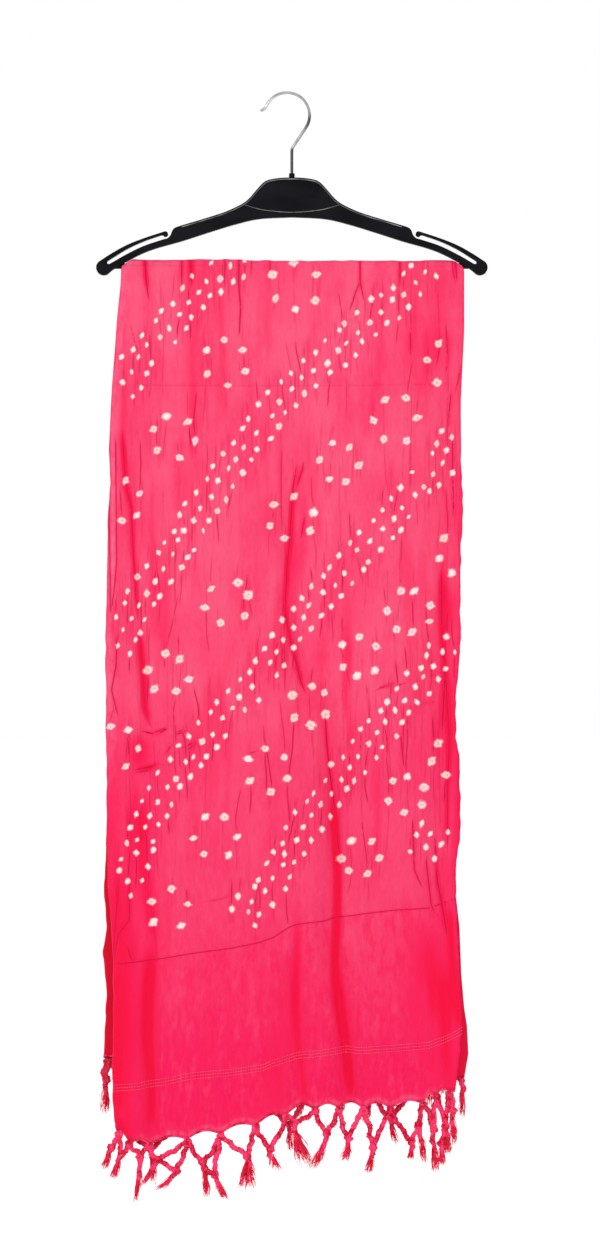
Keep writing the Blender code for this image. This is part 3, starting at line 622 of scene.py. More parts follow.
# The seam above the plain border, the stitched lines near the hem and the mark of the fold when packed.
seamLine = [(-192.3, 745), (-169.8, 742.9), (-136.7, 738.6), (-106.8, 733.2), (-66.2, 727.9),
            (-38.4, 722.6), (-19.1, 716.1), (-3.1, 705.5), (5.5, 702.3), (34.3, 699), (42.9, 696.4),
            (49.3, 694.8), (71.7, 691.6), (105.9, 687.3), (144.4, 685.2), (158.3, 680.9), (176.4, 674.5)]
stitchLine = [(-192.3, 877.3), (-155.9, 875.2), (-141, 872), (-102.5, 863.4), (-67.2, 860.2), (-32, 854.9),
              (-22.3, 850.6), (4.4, 842), (24.7, 839.9), (54.6, 835.6), (64.2, 836.7), (110.2, 833.5),
              (138, 831.4), (160.4, 823.9), (176.4, 814.3)]
pressedLine = [(-178, 127.4), (-98.2, 127.9), (-12.7, 128.4), (72.8, 127.9), (169, 126.8)]
backCreases = creaseRows([
    (4.5, 2, 1, 0.7, [(-31, 390), (-35, 520), (-42, 660), (-49, 840)]),
    (3.5, 1.2, 0.6, 0.8, [(59, 190), (53, 300), (55, 420), (62, 540)]),
    (3.4, 1.3, 0.7, 0.6, [(-166, 310), (-161, 480), (-163, 640)]),
    (5, 1.2, 0.5, 0.2, [(96, 600), (101, 720), (104, 830)]),
    (2.2, 0.7, 0.3, 0.8, [(-120, 452), (-104, 448), (-90, 440)]),
    (2.2, 0.7, 0.3, 0.7, [(84, 360), (99, 356), (116, 347)]),
    (2.2, 0.9, 0.5, 0.9, [(-140, -5), (-138, 20), (-135, 46)]),
    (2, 0.7, 0.4, 0.8, [(-62, -5), (-62, 28)]),
    (2.2, 0.9, 0.5, 0.9, [(30, -5), (31, 30), (29, 70)]),
    (2, 0.7, 0.4, 0.8, [(132, -5), (133, 34)]),
    (1.8, 0.6, 0.3, 0.7, [(163, 120), (160, 260), (158, 400), (160, 540)]),
])
backSeam = [(x, 663 + 4.5 * math.sin(x / 44 + 1)) for x in range(-204, 196, 12)]
backStitch = [(x, 791 + 3.5 * math.sin(x / 47 + 1.4)) for x in range(-204, 196, 12)]
rolledStrip = [(-190.8, 178), (-190.6, 265), (-190.4, 315), (-192, 352)]


def insideEdges(shape, dots):
    # ties that would straddle an edge are left out
    return [dot for dot in dots
            if tableAt(shape["left"], dot[1]) + 4.5 < dot[0] < tableAt(shape["outerRight"], dot[1]) - 4.5]


frontShape.update(
    rolled=rolledStrip, creases=frontCreases, seam=seamLine, stitch=stitchLine, pressed=pressedLine,
    dots=insideEdges(frontShape, dotsInRows(bandPaths, 3) + dotsInRings(rings, 4)))
backShape.update(
    rolled=[(158, 400), (160, 520), (157, 600)], creases=backCreases, seam=backSeam, stitch=backStitch,
    pressed=[(-190, 129), (180, 128)],
    dots=insideEdges(backShape, dotsInRows(backBands, 7) + dotsInRings(backRings, 8)))

clothRelief = dict(broadSwell=1.5, longFolds=0.75, ripple=0.3, dotRise=0.55, seamRise=0.5, gathers=0.9,
                   ridge=0.4, ridgeStep=1.3, wall=0.5)
puckerRules = dict(up=0.62, down=0.5, step=4.5, width=1.3, loose=60)


def puckerLines(dots, seed, seam):
    # thin creases that run up and down from the ties, wandering a little; some reach the next tie; each is
    # drawn as a thin dark line of painted shade
    rng = random.Random(seed)
    lines = []
    seam = np.array(seam, dtype=float).T
    for dot in dots:
        x, fall, size, ring = dot[:4]
        for way in (-1, 1):
            if rng.random() > (puckerRules["up"] if way < 0 else puckerRules["down"]):
                continue
            length = rng.uniform(9, 60) if ring else rng.uniform(7, 36)
            slope = rng.gauss(0, 0.12)
            at, place = size * 0.8, x + rng.uniform(-0.3, 0.3) * size
            path = [(place, fall + way * at)]
            while at < length + size:
                at += puckerRules["step"]
                slope = 0.8 * slope + rng.gauss(0, 0.06)
                place += puckerRules["step"] * slope
                path.append((place, fall + way * at))
            if -4 < path[-1][1] < np.interp(place, *seam) and len(path) > 2:
                strength = rng.uniform(0.1, 0.95) ** 1.7
                lines.append(dict(path=path, line=strength, width=puckerRules["width"]))
    for count in range(puckerRules["loose"]):       # and some long ones of their own, mostly near the edges
        x = 178 * math.copysign(rng.random() ** 0.55, rng.random() - 0.4)
        fall = rng.uniform(10, 600)
        path = [(x, fall)]
        for bend in range(rng.randint(4, 15)):
            x += rng.gauss(0, 0.35)
            fall += 9
            path.append((x, fall))
        if fall < np.interp(x, *seam):
            lines.append(dict(path=path, line=rng.uniform(0.08, 0.38), width=puckerRules["width"]))
    return lines


def lineCorners(x, fall, faces, lines):
    # for each face's corners: how far away the line nearest to the face is, and how strong it is there
    away = np.full(faces.shape, 9.0)
    strength = np.zeros(faces.shape)
    nearest = np.full(len(faces), 6.0)
    faceX, faceFall = x[faces], fall[faces]
    middleX, middleFall = faceX.mean(axis=1), faceFall.mean(axis=1)
    for row in lines:
        path = np.array(row["path"], dtype=float)
        low, high = path.min(axis=0) - 6, path.max(axis=0) + 6
        inside = (middleX > low[0]) & (middleX < high[0]) & (middleFall > low[1]) & (middleFall < high[1])
        picked = np.flatnonzero(inside)
        if not len(picked):
            continue
        apart, fromEnd = nearPath(faceX[picked], faceFall[picked], row["path"])
        mean = np.abs(apart).mean(axis=1)
        closer = mean < nearest[picked]
        chosen = picked[closer]
        nearest[chosen] = mean[closer]
        away[chosen] = apart[closer]
        strength[chosen] = row["line"] * softStep(0, 9, fromEnd[closer] + 1.5)
    return away, strength


def creaseField(shape, x, fall):
    # a row for each crease: its signed distance from every point, and what is left of it near its ends
    # the seam and the pressed fold get painted shade too: a redder band and a thin dark line
    seam = dict(width=1.4, depth=clothRelief["seamRise"], shade=0.12, line=0.8, path=shape["seam"])
    pressed = dict(width=2.0, depth=0.25, shade=0.06, line=0.16, path=shape["pressed"])
    rows = []
    for crease in shape["creases"] + [seam, pressed]:
        away, fromEnd = nearPath(x, fall, crease["path"])
        length = sum(math.dist(a, b) for a, b in zip(crease["path"], crease["path"][1:]))
        rows.append((crease, away, softStep(0, min(10 + 5 * crease["width"], 0.4 * length), fromEnd)))
    return rows


def swells(shape, x, fall):
    # broad swells, long folds and a fine ripple, all between -1 and 1
    seed = shape["seed"] * 10
    broad = softNoise(x / 46 + 40, fall / 190 + 40, seed)
    folds = softNoise(x / 15 + 40, fall / 120 + 40, seed + 1)
    return broad, folds, softNoise(x / 6.2 + 60, fall / 46 + 40, seed + 2)


def outerRelief(shape):
    gatherSeed = shape["seed"] * 10 + 3
    dots = np.array(shape["dots"])

    def relief(x, fall):
        free = softStep(0, 160, fall)                       # flatter where the bar holds the cloth
        broad, folds, ripple = swells(shape, x, fall)
        raised = clothRelief["broadSwell"] * free * broad
        raised += clothRelief["longFolds"] * (0.5 + 0.5 * free) * folds
        raised += clothRelief["ripple"] * ripple
        gathers = 1.0 - softStep(4, 70, fall)
        raised += clothRelief["gathers"] * gathers * softNoise(x / 7.5 + 50, fall / 60 + 40, gatherSeed)
        for crease, away, fade in creaseField(shape, x, fall):
            width = crease["width"]
            raised -= fade * crease["depth"] * np.exp(-(away / width) ** 2)
            raised += fade * 0.4 * crease["depth"] * np.exp(-((np.abs(away) - 2.1 * width) / width) ** 2)
        near = dots[nearestDot(x, fall, shape["dots"])]
        dx, dy = x - near[..., 0], fall - near[..., 1]
        size = near[..., 2]
        raised += clothRelief["dotRise"] * np.exp(-(dx ** 2 + dy ** 2) / (0.75 * size) ** 2)
        # both halves share the gathers along the ridge, so that they meet there
        level = np.full(x.shape, 40.0)
        ridge = clothRelief["gathers"] * (softNoise(x / 9 + 50, level, 71)
                                          + softNoise(x / 34 + 50, level, 72))
        ridge += clothRelief["ridgeStep"] * softStep(-35, -62, x) + clothRelief["ridge"]
        own = softStep(-4, 22, fall)
        return own * raised + (1 - own) * ridge
    return relief


def innerRelief(shape):
    seed = shape["seed"] * 10 + 5

    def relief(x, fall):
        return 0.5 * softStep(0, 120, fall) * softNoise(x / 18 + 40, fall / 120 + 40, seed)
    return relief


def mapDots(mesh, shape, x, fall):
    # for each face's corners: place and kind of the face's tied dot
    near = np.array(shape["dots"])[nearestDot(x.mean(axis=1), fall.mean(axis=1), shape["dots"])]
    dx, dy = x - near[:, 0, None], fall - near[:, 1, None]
    size, turn, thin = near[:, 2, None], near[:, 5, None], near[:, 6, None]
    dotU = (dx * np.cos(turn) + dy * np.sin(turn)) / (size * thin)
    dotV = (dy * np.cos(turn) - dx * np.sin(turn)) / size
    putMap(mesh, "dotPlace", np.clip(dotU, -9, 9), np.clip(dotV, -9, 9))
    putMap(mesh, "dotKind", np.repeat(near[:, 3], 4), np.repeat(near[:, 4], 4))


# painted shade: the redness added in fold troughs, swell hollows, near the edges, on the inner layer and on
# the back panel's strip by its folded edge, and how much of it the rolled strip and lip lose; the last two
# set how pale those are
clothTones = dict(foldTroughShade=0.30, valley=0.45, edge=0.25, inner=0.5, backStripShadow=1.2, rolledRed=0.85, lipRed=0.6,
                  rolledPale=1.2, lipPale=0.9)


def paintedShadeAndPale(shape, x, fall, layers, field):
    # painted shade: how red the cloth is painted in its folds, hollows, creases and edges and on its inner
    # layer, and how pale along its rolled edge and hem
    broad, folds, ripple = swells(shape, x, fall)
    swell = broad + 0.9 * folds + 0.5 * ripple
    fromFold = x - tableAt(shape["left"], fall)
    # painted shade in the fold troughs and in the hollows of the swells
    red = np.clip(foldDepth(shape["folds"], x, fall) / 9, 0, 1) * clothTones["foldTroughShade"]
    red = red + clothTones["valley"] * softStep(0.2, -1.5, swell)
    # painted shade along each crease
    for crease, apart, fade in field:
        red = red + crease["shade"] * fade * np.exp(-(apart / (1.15 * crease["width"])) ** 2)
    # painted shade near both edges and over the inner layer, which the outer one covers
    edge = np.minimum(fromFold, tableAt(shape["outerRight"], fall) - x)
    red = red + clothTones["edge"] * np.exp(-np.maximum(edge, 0) / 5)
    red = red + clothTones["inner"] * layers
    # painted shadow on the back panel's strip by its folded edge
    if shape["side"] > 0:
        red = np.clip(red, 0, 1) + clothTones["backStripShadow"] * np.exp(-(np.maximum(fromFold, 0) / 15) ** 2)
    away, fromEnd = nearPath(x, fall, shape["rolled"])
    strip = softStep(3.4, 2.0, np.abs(away)) * softStep(0, 30, fromEnd)
    lip = softStep(15, 5, fromFold) * softStep(640, 480, fall) * (1 - layers)
    red = red * (1 - clothTones["rolledRed"] * strip) * (1 - clothTones["lipRed"] * lip)
    toHem = tableAt(shape["outerHem"], x) - scallop(shape["outerKnots"], x) - fall
    pale = np.maximum(clothTones["rolledPale"] * strip, clothTones["lipPale"] * lip)
    pale = np.maximum(softStep(8, 2, toHem) * (1 - layers), pale)
    return np.clip(red, 0, 2 if shape["side"] > 0 else 1), pale


def tieCrowd(dots, x, fall):
    # 1 amid ties, 0 far from them, and further up and down than sideways
    dots = np.array(dots)
    crowd = np.zeros(x.size)
    for start in range(0, x.size, 6000):
        part = slice(start, start + 6000)
        dx, dy = x[part, None] - dots[None, :, 0], fall[part, None] - dots[None, :, 1]
        crowd[part] = np.exp(-(dx / 7) ** 2 - (dy / 20) ** 2).sum(axis=1)
    return np.clip(crowd, 0, 1)


def makeCloth(name, shape, finish):
    points, travel, layer = clothGrid(shape, dict(outer=outerRelief(shape), inner=innerRelief(shape)))
    rows = travel.shape[1]
    x, fall, layers = points[..., 0].ravel(), travel.ravel(), np.repeat(layer, rows)
    mesh, faces = gridMesh(name, points)
    mapDots(mesh, shape, x[faces], fall[faces])

    field = creaseField(shape, x, fall)
    lines = [row[0] for row in field if row[0]["line"] > 0]
    lines += puckerLines(shape["dots"], shape["seed"] + 50, shape["seam"])
    away, strength = lineCorners(x, fall, faces, lines)
    putMap(mesh, "creasePlace", np.clip(away / 10, -1, 1), strength)

    corners = faces.ravel()
    across = np.concatenate([[0], np.cumsum(np.linalg.norm(np.diff(points[:, rows // 2], axis=0), axis=1))])
    putMap(mesh, "weave", np.repeat(across, rows)[corners] * mm, fall[corners] * mm)

    red, pale = paintedShadeAndPale(shape, x, fall, layers, field)
    belowSeam = fall - np.interp(x, *np.array(shape["seam"], dtype=float).T)
    putAttribute(mesh, "foldShade", red)
    putAttribute(mesh, "paleEdge", pale)
    putAttribute(mesh, "border", softStep(-1.5, 1.5, belowSeam))
    putAttribute(mesh, "puckers", tieCrowd(shape["dots"], x, fall))
    cloth = addWall(addPiece(name, mesh, finish), clothRelief["wall"])
    print(name, "made:", len(cloth.data.polygons), "faces,", len(shape["dots"]), "tied dots")
    return cloth, points, travel


# The cloth's finish.
# valley, deepShade, shadow and line are painted shade colours; valley also tints the dye's mottle
clothColours = dict(
    pink=(0.752, 0.078, 0.166, 1), rose=(0.744, 0.0272, 0.108, 1), valley=(0.76, 0.008, 0.0736, 1),
    deepShade=(0.744, 0.0012, 0.036, 1), line=(0.43, 0.0016, 0.042, 1), border=(0.744, 0.0272, 0.110, 1),
    hem=(0.744, 0.004, 0.076, 1), cream=(0.792, 0.704, 0.664, 1), gold=(0.672, 0.336, 0.16, 1),
    speck=(0.576, 0.288, 0.304, 1), halo=(0.76, 0.16, 0.264, 1), pale=(0.76, 0.136, 0.248, 1),
    shadow=(0.58, 0.0008, 0.018, 1), blot=(0.77, 0.40, 0.42, 1),
)


def makeClothFinish(name, colours, threadPitch=0.0007):
    finish, tree, shader = newFinish(name, {"Sheen Weight": 0.06, "Sheen Roughness": 0.5,
                                            "Sheen Tint": (1.0, 0.35, 0.5, 1), "Specular IOR Level": 0.09})
    fade = partial(between, tree)
    times = partial(calc, tree, 'MULTIPLY')
    spots = partial(cloud, tree, bodyPlace(tree))

    def mapPlace(label):
        both = addOut(tree, "ShaderNodeUVMap", uv_map=label)
        return addNode(tree, "ShaderNodeSeparateXYZ", {0: both}).outputs[:2]

    def stored(label):
        return addNode(tree, "ShaderNodeAttribute", attribute_name=label).outputs["Fac"]

    def stained(colour, *steps):
        for share, dye in steps:
            colour = tint(tree, share, colour, colours[dye])
        return colour

    weaveU, weaveV = mapPlace("weave")
    foldShade, border = stored("foldShade"), stored("border")

    # uneven dye: broad clouds, long upright streaks and crumples, redder towards the hem; the crumples' red
    # mottle lies in the hollows of their bump, so it is partly painted shade, and painted shade makes the
    # folds redder
    patches = spots(24.0, 4.0, stretch=(1.5, 1.0, 0.42), roughness=0.6)
    streaks = spots(60.0, 3.0, stretch=(2.4, 1.0, 0.14))
    crumple = spots(170.0, 4.0, stretch=(1.2, 1.0, 0.45), roughness=0.62)
    flecks = spots(60.0, 4.0, stretch=(1.8, 1.0, 0.6), roughness=0.6)
    lowHere = calc(tree, 'MAXIMUM', times(border, 0.6), fade(weaveV, 0.44, 0.53, 0.0, 0.55))
    hemHere = times(fade(weaveV, 0.64, 0.88), fade(crumple, 0.62, 0.40, 1.0, 0.78))
    mottleAndShade = calc(tree, 'MULTIPLY_ADD', border, 0.6, 0.4)
    calm = calc(tree, 'MULTIPLY_ADD', border, -0.4, 0.4)
    paleHere = times(stored("paleEdge"), fade(crumple, 0.62, 0.40, 0.25, 1.0))
    colour = stained(
        colours["pink"],
        (fade(spots(9.0, 3.0), 0.35, 0.68, 0.0, 0.55), "rose"),
        (fade(patches, 0.42, 0.68, 0.0, 0.62), "rose"),
        (fade(streaks, 0.50, 0.72, 0.0, 0.25), "rose"),
        (lowHere, "border"),
        (hemHere, "hem"),
        (times(fade(flecks, 0.50, 0.64, 0.0, 0.6), border), "valley"),
        (times(fade(flecks, 0.47, 0.32, 0.0, 0.22), border), "pink"),
        # partly painted shade: the red mottle falls where the crumple's bump dips
        (times(fade(crumple, 0.50, 0.68, 0.0, 0.5), mottleAndShade), "valley"),
        (times(fade(crumple, 0.50, 0.34, 0.0, 0.5), calm), "pink"),
        (times(paleHere, 0.42), "pale"),
        # painted shade: redder in the folds, creases and edges, and the back panel's strip painted as in
        # shadow
        (fade(foldShade, 0.05, 0.75), "valley"),
        (fade(foldShade, 0.55, 1.0, 0.0, 0.9), "deepShade"),
        (fade(foldShade, 1.0, 1.8, 0.0, 0.9), "shadow"))

    # painted shade: faint puckers round the ties darkened, then the hard creases and the seam as thin dark
    # lines with redder shade beside them
    fine = spots(110.0, 2.0, stretch=(3.0, 1.0, 0.16))
    pucker = times(fade(fine, 0.56, 0.66), fade(stored("puckers"), 0.15, 0.9), clamp=True)
    lineAway, strength = mapPlace("creasePlace")
    wobble = times(calc(tree, 'SUBTRACT', spots(90.0, 1.0), 0.5), 0.9)
    lineAt = calc(tree, 'ABSOLUTE', calc(tree, 'ADD', times(lineAway, 10.0), times(wobble, 0.7)))
    creaseSideShade = times(fade(lineAt, 2.6, 0.4, 0.0, 0.5), strength, clamp=True)
    line = times(fade(lineAt, 0.74, 0.26), strength, clamp=True)
    colour = stained(colour, (times(pucker, 0.5), "valley"), (creaseSideShade, "valley"), (times(line, 0.95), "line"))

    # the tied dots: soft ragged diamonds left undyed, some with a stained middle
    ring, tone = mapPlace("dotKind")
    ragged = times(calc(tree, 'SUBTRACT', spots(330.0, 2.0), 0.5), 1.5)
    across, along = (calc(tree, 'POWER', calc(tree, 'ABSOLUTE', way), 1.45) for way in mapPlace("dotPlace"))
    reach = calc(tree, 'ADD', calc(tree, 'ADD', across, along), ragged)
    dot, middle = fade(reach, 1.28, 0.52, 0.0, 0.95), fade(reach, 0.75, -0.05)
    goldHere = calc(tree, 'LESS_THAN', tone, calc(tree, 'MULTIPLY_ADD', ring, 0.26, 0.14))
    speckHere = calc(tree, 'GREATER_THAN', tone, calc(tree, 'MULTIPLY_ADD', ring, -0.25, 0.92))
    colour = stained(
        colour,
        (fade(reach, 1.75, 0.9, 0.0, 0.55), "halo"),
        (dot, "cream"),
        (times(fade(spots(420.0, 2.0), 0.46, 0.66, 0.0, 0.5), dot), "blot"),
        (times(times(middle, goldHere), 0.75), "gold"),
        (times(times(middle, speckHere), 0.6), "speck"))

    # plain weave, fine crinkle and the raised ties
    warp, weft = (calc(tree, 'SINE', times(way, 2 * math.pi / threadPitch)) for way in (weaveU, weaveV))
    crinkle = spots(75.0, 3.0, stretch=(2.6, 1.0, 0.22))
    height = calc(tree, 'ADD', times(times(warp, weft), 0.05), times(crinkle, 0.55))
    for part, share in ((crumple, 0.40), (line, 0.25), (pucker, 0.3)):
        height = calc(tree, 'SUBTRACT', height, times(part, share))
    height = calc(tree, 'ADD', height, times(dot, 0.35))
    dress(tree, shader, colour, fade(crinkle, 0.2, 0.8, 0.64, 0.80), height, 0.0016, 0.9)
    return finish


clothFinish = makeClothFinish("pinkCloth", clothColours)
frontCloth, frontPoints, frontTravel = makeCloth("stoleFront", frontShape, clothFinish)
backCloth, backPoints, backTravel = makeCloth("stoleBack", backShape, clothFinish)
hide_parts("stole_front")
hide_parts("stole_back")


# Geometry Nodes trees for yarns, frayed ends, knots and stitches.
def startTree(name, sizes):
    tree = bpy.data.node_groups.new(name, 'GeometryNodeTree')
    tree.is_modifier = True
    tree.interface.new_socket(name="Geometry", in_out='OUTPUT', socket_type='NodeSocketGeometry')
    tree.interface.new_socket(name="Geometry", in_out='INPUT', socket_type='NodeSocketGeometry')
    for label, value in sizes.items():
        kind = 'NodeSocketInt' if isinstance(value, int) else 'NodeSocketFloat'
        tree.interface.new_socket(name=label, in_out='INPUT', socket_type=kind).default_value = value
    tree.interface.new_socket(name="Finish", in_out='INPUT', socket_type='NodeSocketMaterial')
    return tree, tree.nodes.new("NodeGroupInput").outputs


def endTree(tree, geometry, finish):
    real = addOut(tree, "GeometryNodeRealizeInstances", {0: geometry})
    smooth = addOut(tree, "GeometryNodeSetShadeSmooth", {0: real})
    painted = addOut(tree, "GeometryNodeSetMaterial", {"Geometry": smooth, "Material": finish})
    tree.links.new(painted, tree.nodes.new("NodeGroupOutput").inputs[0])
    return tree


def growTree(piece, tree, **values):
    grown = piece.modifiers.new(tree.name, 'NODES')
    grown.node_group = tree
    for item in tree.interface.items_tree:
        if item.in_out == 'INPUT' and item.name in values:
            grown[item.identifier] = values[item.name]
    return settle(piece)


def vector(tree, operation, *values, scale=None):
    node = addNode(tree, "ShaderNodeVectorMath", dict(enumerate(values)), operation=operation)
    if scale is not None:
        putInputs(node, {"Scale": scale})
    return node.outputs["Value" if operation in ('LENGTH', 'DOT_PRODUCT') else "Vector"]


def named(tree, name):
    return addOut(tree, "GeometryNodeInputNamedAttribute", {"Name": name}, data_type='FLOAT')


def tubeAlong(tree, curve, radius, sides):
    shaped = addOut(tree, "GeometryNodeSetCurveRadius", {"Curve": curve, "Radius": radius})
    ring = addOut(tree, "GeometryNodeCurvePrimitiveCircle", {"Resolution": sides, "Radius": 1.0})
    return addOut(tree, "GeometryNodeCurveToMesh",
                  {"Curve": shaped, "Profile Curve": ring, "Fill Caps": True, "Scale": radius})


def resampled(tree, geometry, step):
    curve = addOut(tree, "GeometryNodeMeshToCurve", {0: geometry})
    return addOut(tree, "GeometryNodeResampleCurve", {"Curve": curve, "Length": step}, mode='LENGTH')


def swayed(tree, line, place, size, reach):
    # the line moved aside by smooth noise
    noise = addNode(tree, "ShaderNodeTexNoise", {"Vector": place, "Scale": size, "Detail": 1.0})
    sway = vector(tree, 'SUBTRACT', noise.outputs["Color"], (0.5, 0.5, 0.5))
    sway = vector(tree, 'SCALE', sway, scale=reach)
    return addOut(tree, "GeometryNodeSetPosition", {"Geometry": line, "Offset": sway})


def makeYarnTree(plies):
    tree, given = startTree("twistedYarn", {
        "Ply Spacing": 0.5, "Ply Thickness": 0.55, "Twist Length": 0.0085, "Step": 0.0013, "Wander": 0.011,
        "Wander Size": 84.0, "Lump Size": 260.0, "Sides": 6})
    times = partial(calc, tree, 'MULTIPLY')
    along = addNode(tree, "GeometryNodeSplineParameter").outputs
    turn = times(calc(tree, 'DIVIDE', along["Length"], given["Twist Length"]), 2 * math.pi)
    turn = calc(tree, 'ADD', turn, named(tree, "phase"))
    normal = addOut(tree, "GeometryNodeInputNormal")
    sideways = vector(tree, 'CROSS_PRODUCT', addOut(tree, "GeometryNodeInputTangent"), normal)
    bell = calc(tree, 'SINE', times(along["Factor"], math.pi))
    line = resampled(tree, given["Geometry"], given["Step"])
    line = swayed(tree, line, addOut(tree, "GeometryNodeInputPosition"), given["Wander Size"],
                  times(bell, given["Wander"]))
    lumps = addOut(tree, "ShaderNodeTexNoise", {"Scale": given["Lump Size"], "Detail": 1.0})
    radius = times(named(tree, "thickness"), calc(tree, 'MULTIPLY_ADD', lumps, 0.9, 0.55))
    join = tree.nodes.new("GeometryNodeJoinGeometry")
    for ply in range(plies):
        angle = calc(tree, 'ADD', turn, ply * 2 * math.pi / plies)
        out = vector(tree, 'ADD', vector(tree, 'SCALE', normal, scale=calc(tree, 'COSINE', angle)),
                     vector(tree, 'SCALE', sideways, scale=calc(tree, 'SINE', angle)))
        out = vector(tree, 'SCALE', out, scale=times(radius, given["Ply Spacing"]))
        moved = addOut(tree, "GeometryNodeSetPosition", {"Geometry": line, "Offset": out})
        strand = tubeAlong(tree, moved, times(radius, given["Ply Thickness"]), given["Sides"])
        tree.links.new(strand, join.inputs[0])
    return endTree(tree, join.outputs[0], given["Finish"])


def makeHairTree():
    tree, given = startTree("frayedEnds", {"Step": 0.0022, "Curl": 0.006, "Curl Size": 130.0, "Sides": 3})
    share = addNode(tree, "GeometryNodeSplineParameter").outputs["Factor"]
    apart = addOut(tree, "ShaderNodeCombineXYZ", {0: calc(tree, 'MULTIPLY', named(tree, "phase"), 0.01)})
    place = vector(tree, 'ADD', addOut(tree, "GeometryNodeInputPosition"), apart)
    line = swayed(tree, resampled(tree, given["Geometry"], given["Step"]), place, given["Curl Size"],
                  calc(tree, 'MULTIPLY', share, given["Curl"]))
    return endTree(tree, tubeAlong(tree, line, named(tree, "thickness"), given["Sides"]), given["Finish"])


def makeKnotTree():
    tree, given = startTree("woundKnots", {"Yarn": 0.0009, "Coil": 0.0015, "Height": 0.0026, "Turns": 2.6,
                                           "Sides": 6, "Seed": 6})
    coil = addOut(tree, "GeometryNodeCurveSpiral",
                  {"Resolution": 12, "Rotations": given["Turns"], "Start Radius": given["Coil"],
                   "End Radius": given["Coil"], "Height": given["Height"]})
    down = addOut(tree, "ShaderNodeCombineXYZ", {2: calc(tree, 'MULTIPLY', given["Height"], -0.5)})
    centred = addOut(tree, "GeometryNodeTransform", {"Geometry": coil, "Translation": down})
    turn = addOut(tree, "FunctionNodeRandomValue",
                  {"Min": (-0.9, -0.9, 0.0), "Max": (0.9, 0.9, 6.28), "Seed": given["Seed"]},
                  data_type='FLOAT_VECTOR')
    knot = tubeAlong(tree, centred, given["Yarn"], given["Sides"])
    placed = addOut(tree, "GeometryNodeInstanceOnPoints",
                    {"Points": given["Geometry"], "Instance": knot, "Rotation": turn,
                     "Scale": named(tree, "thickness")})
    return endTree(tree, placed, given["Finish"])


def makeStitchTree():
    tree, given = startTree("stitchRows", {"Pitch": 0.0027, "Stitch Length": 0.0012, "Thread": 0.00034})
    bead = addOut(tree, "GeometryNodeMeshUVSphere", {"Segments": 6, "Rings": 4, "Radius": 1.0})
    size = addOut(tree, "ShaderNodeCombineXYZ",
                  {0: given["Stitch Length"], 1: given["Thread"], 2: given["Thread"]})
    along = addOut(tree, "FunctionNodeAlignRotationToVector",
                   {"Vector": addOut(tree, "GeometryNodeInputTangent")}, axis='X')
    placed = addOut(tree, "GeometryNodeInstanceOnPoints",
                    {"Points": resampled(tree, given["Geometry"], given["Pitch"]), "Instance": bead,
                     "Rotation": along, "Scale": size})
    return endTree(tree, placed, given["Finish"])


def chainMesh(name, chains):
    # lines for a tree above, each given as its points, its thickness at each and its phase
    places, edges, thickness, phases = [], [], [], []
    for points, widths, phase in chains:
        first = len(places)
        places += [tuple(p) for p in toWorld(points)]
        edges += [(first + k, first + k + 1) for k in range(len(points) - 1)]
        thickness += [w * mm for w in widths]
        phases += [phase] * len(points)
    mesh = bpy.data.meshes.new(name)
    mesh.from_pydata(places, edges, [])
    putAttribute(mesh, "thickness", thickness)
    putAttribute(mesh, "phase", phases)
    return addPiece(name, mesh)


# The knotted fringes.
fringeSizes = dict(
    gap=0.3, band=3.0, rolled=1.6, bandWall=1.0, yarn=3.1, knot=2.0, innerKnot=1.6, widest=45,
    frontSeed=11, backSeed=23, backTail=52, innerTail=48,
    bushyHairs=110, tailHairs=58, innerHairs=40, hair=(0.26, 0.58), strays=10,
)
lowerKnots = [   # name, x, fall, the knots above it, the tail's end and half the tail's spread there
    ("z", -192.5, 940, ("k0",), (-199.4, 962), 3.0),
    ("y", -181.5, 948, ("k0", "k1"), (-190, 972), 2.6),
    ("a", -161.8, 951, ("k1", "k2"), (-166.6, 996), 1.6),
    ("b", -143.1, 953, ("k2", "k3"), (-157, 979), 1.2),
    ("c", -122.8, 965, ("b", "k3"), (-139.9, 984), 3.8),
    ("d", -95.3, 956, ("k3", "k4"), (-90.7, 992), 1.3),
    ("e", -82.2, 968, ("k4", "d"), (-70.4, 994), 2.0),
    ("f", -47.5, 949, ("k4", "k5"), (-47.5, 982), 8.0),
    ("g", -22.7, 942, ("k5", "k6"), (-17, 963), 4.6),
    ("h", 2.2, 914, ("k6", "k7"), (14, 957), 7.0),
    ("i", 37.5, 925, ("k7", "k8"), (24, 962), 4.2),
    ("j", 60.5, 930, ("k8", "k9"), (55.7, 954), 3.6),
    ("l", 86.3, 940, ("k9", "k10"), (81.6, 966), 3.4),
    ("n", 134.8, 916, ("k11",), (141.2, 954), 1.4),
    ("m", 127.4, 934, ("k10", "n"), (126, 952), 2.0),
    ("o", 151.5, 921, ("k11", "k12"), (153, 963), 2.4),
    ("r", 163.5, 917, ("k12", "k13"), (166, 946), 3.0),
    ("s", 171.5, 901, ("k13",), (172.5, 936), 2.6),
    ("t", 158.5, 935, ("r",), (160, 958), 2.2),
]


def hemPoint(shape, points, layer, x):
    outerCount = shape["outerColumns"]
    line = points[:outerCount, -1] if layer == "outer" else points[-shape["innerColumns"]:, -1]
    line = line[np.argsort(line[:, 0])]
    place = [np.interp(x, line[:, 0], line[:, k]) for k in range(3)]
    return Vector(place) - Vector((0, 0, fringeSizes["gap"] + fringeSizes["band"]))


def sagging(start, end, rng):
    bow = Vector((rng.uniform(-1.6, 1.6), rng.uniform(-0.8, 0.8), 0))
    return [start, (start + end) / 2 + bow, end]


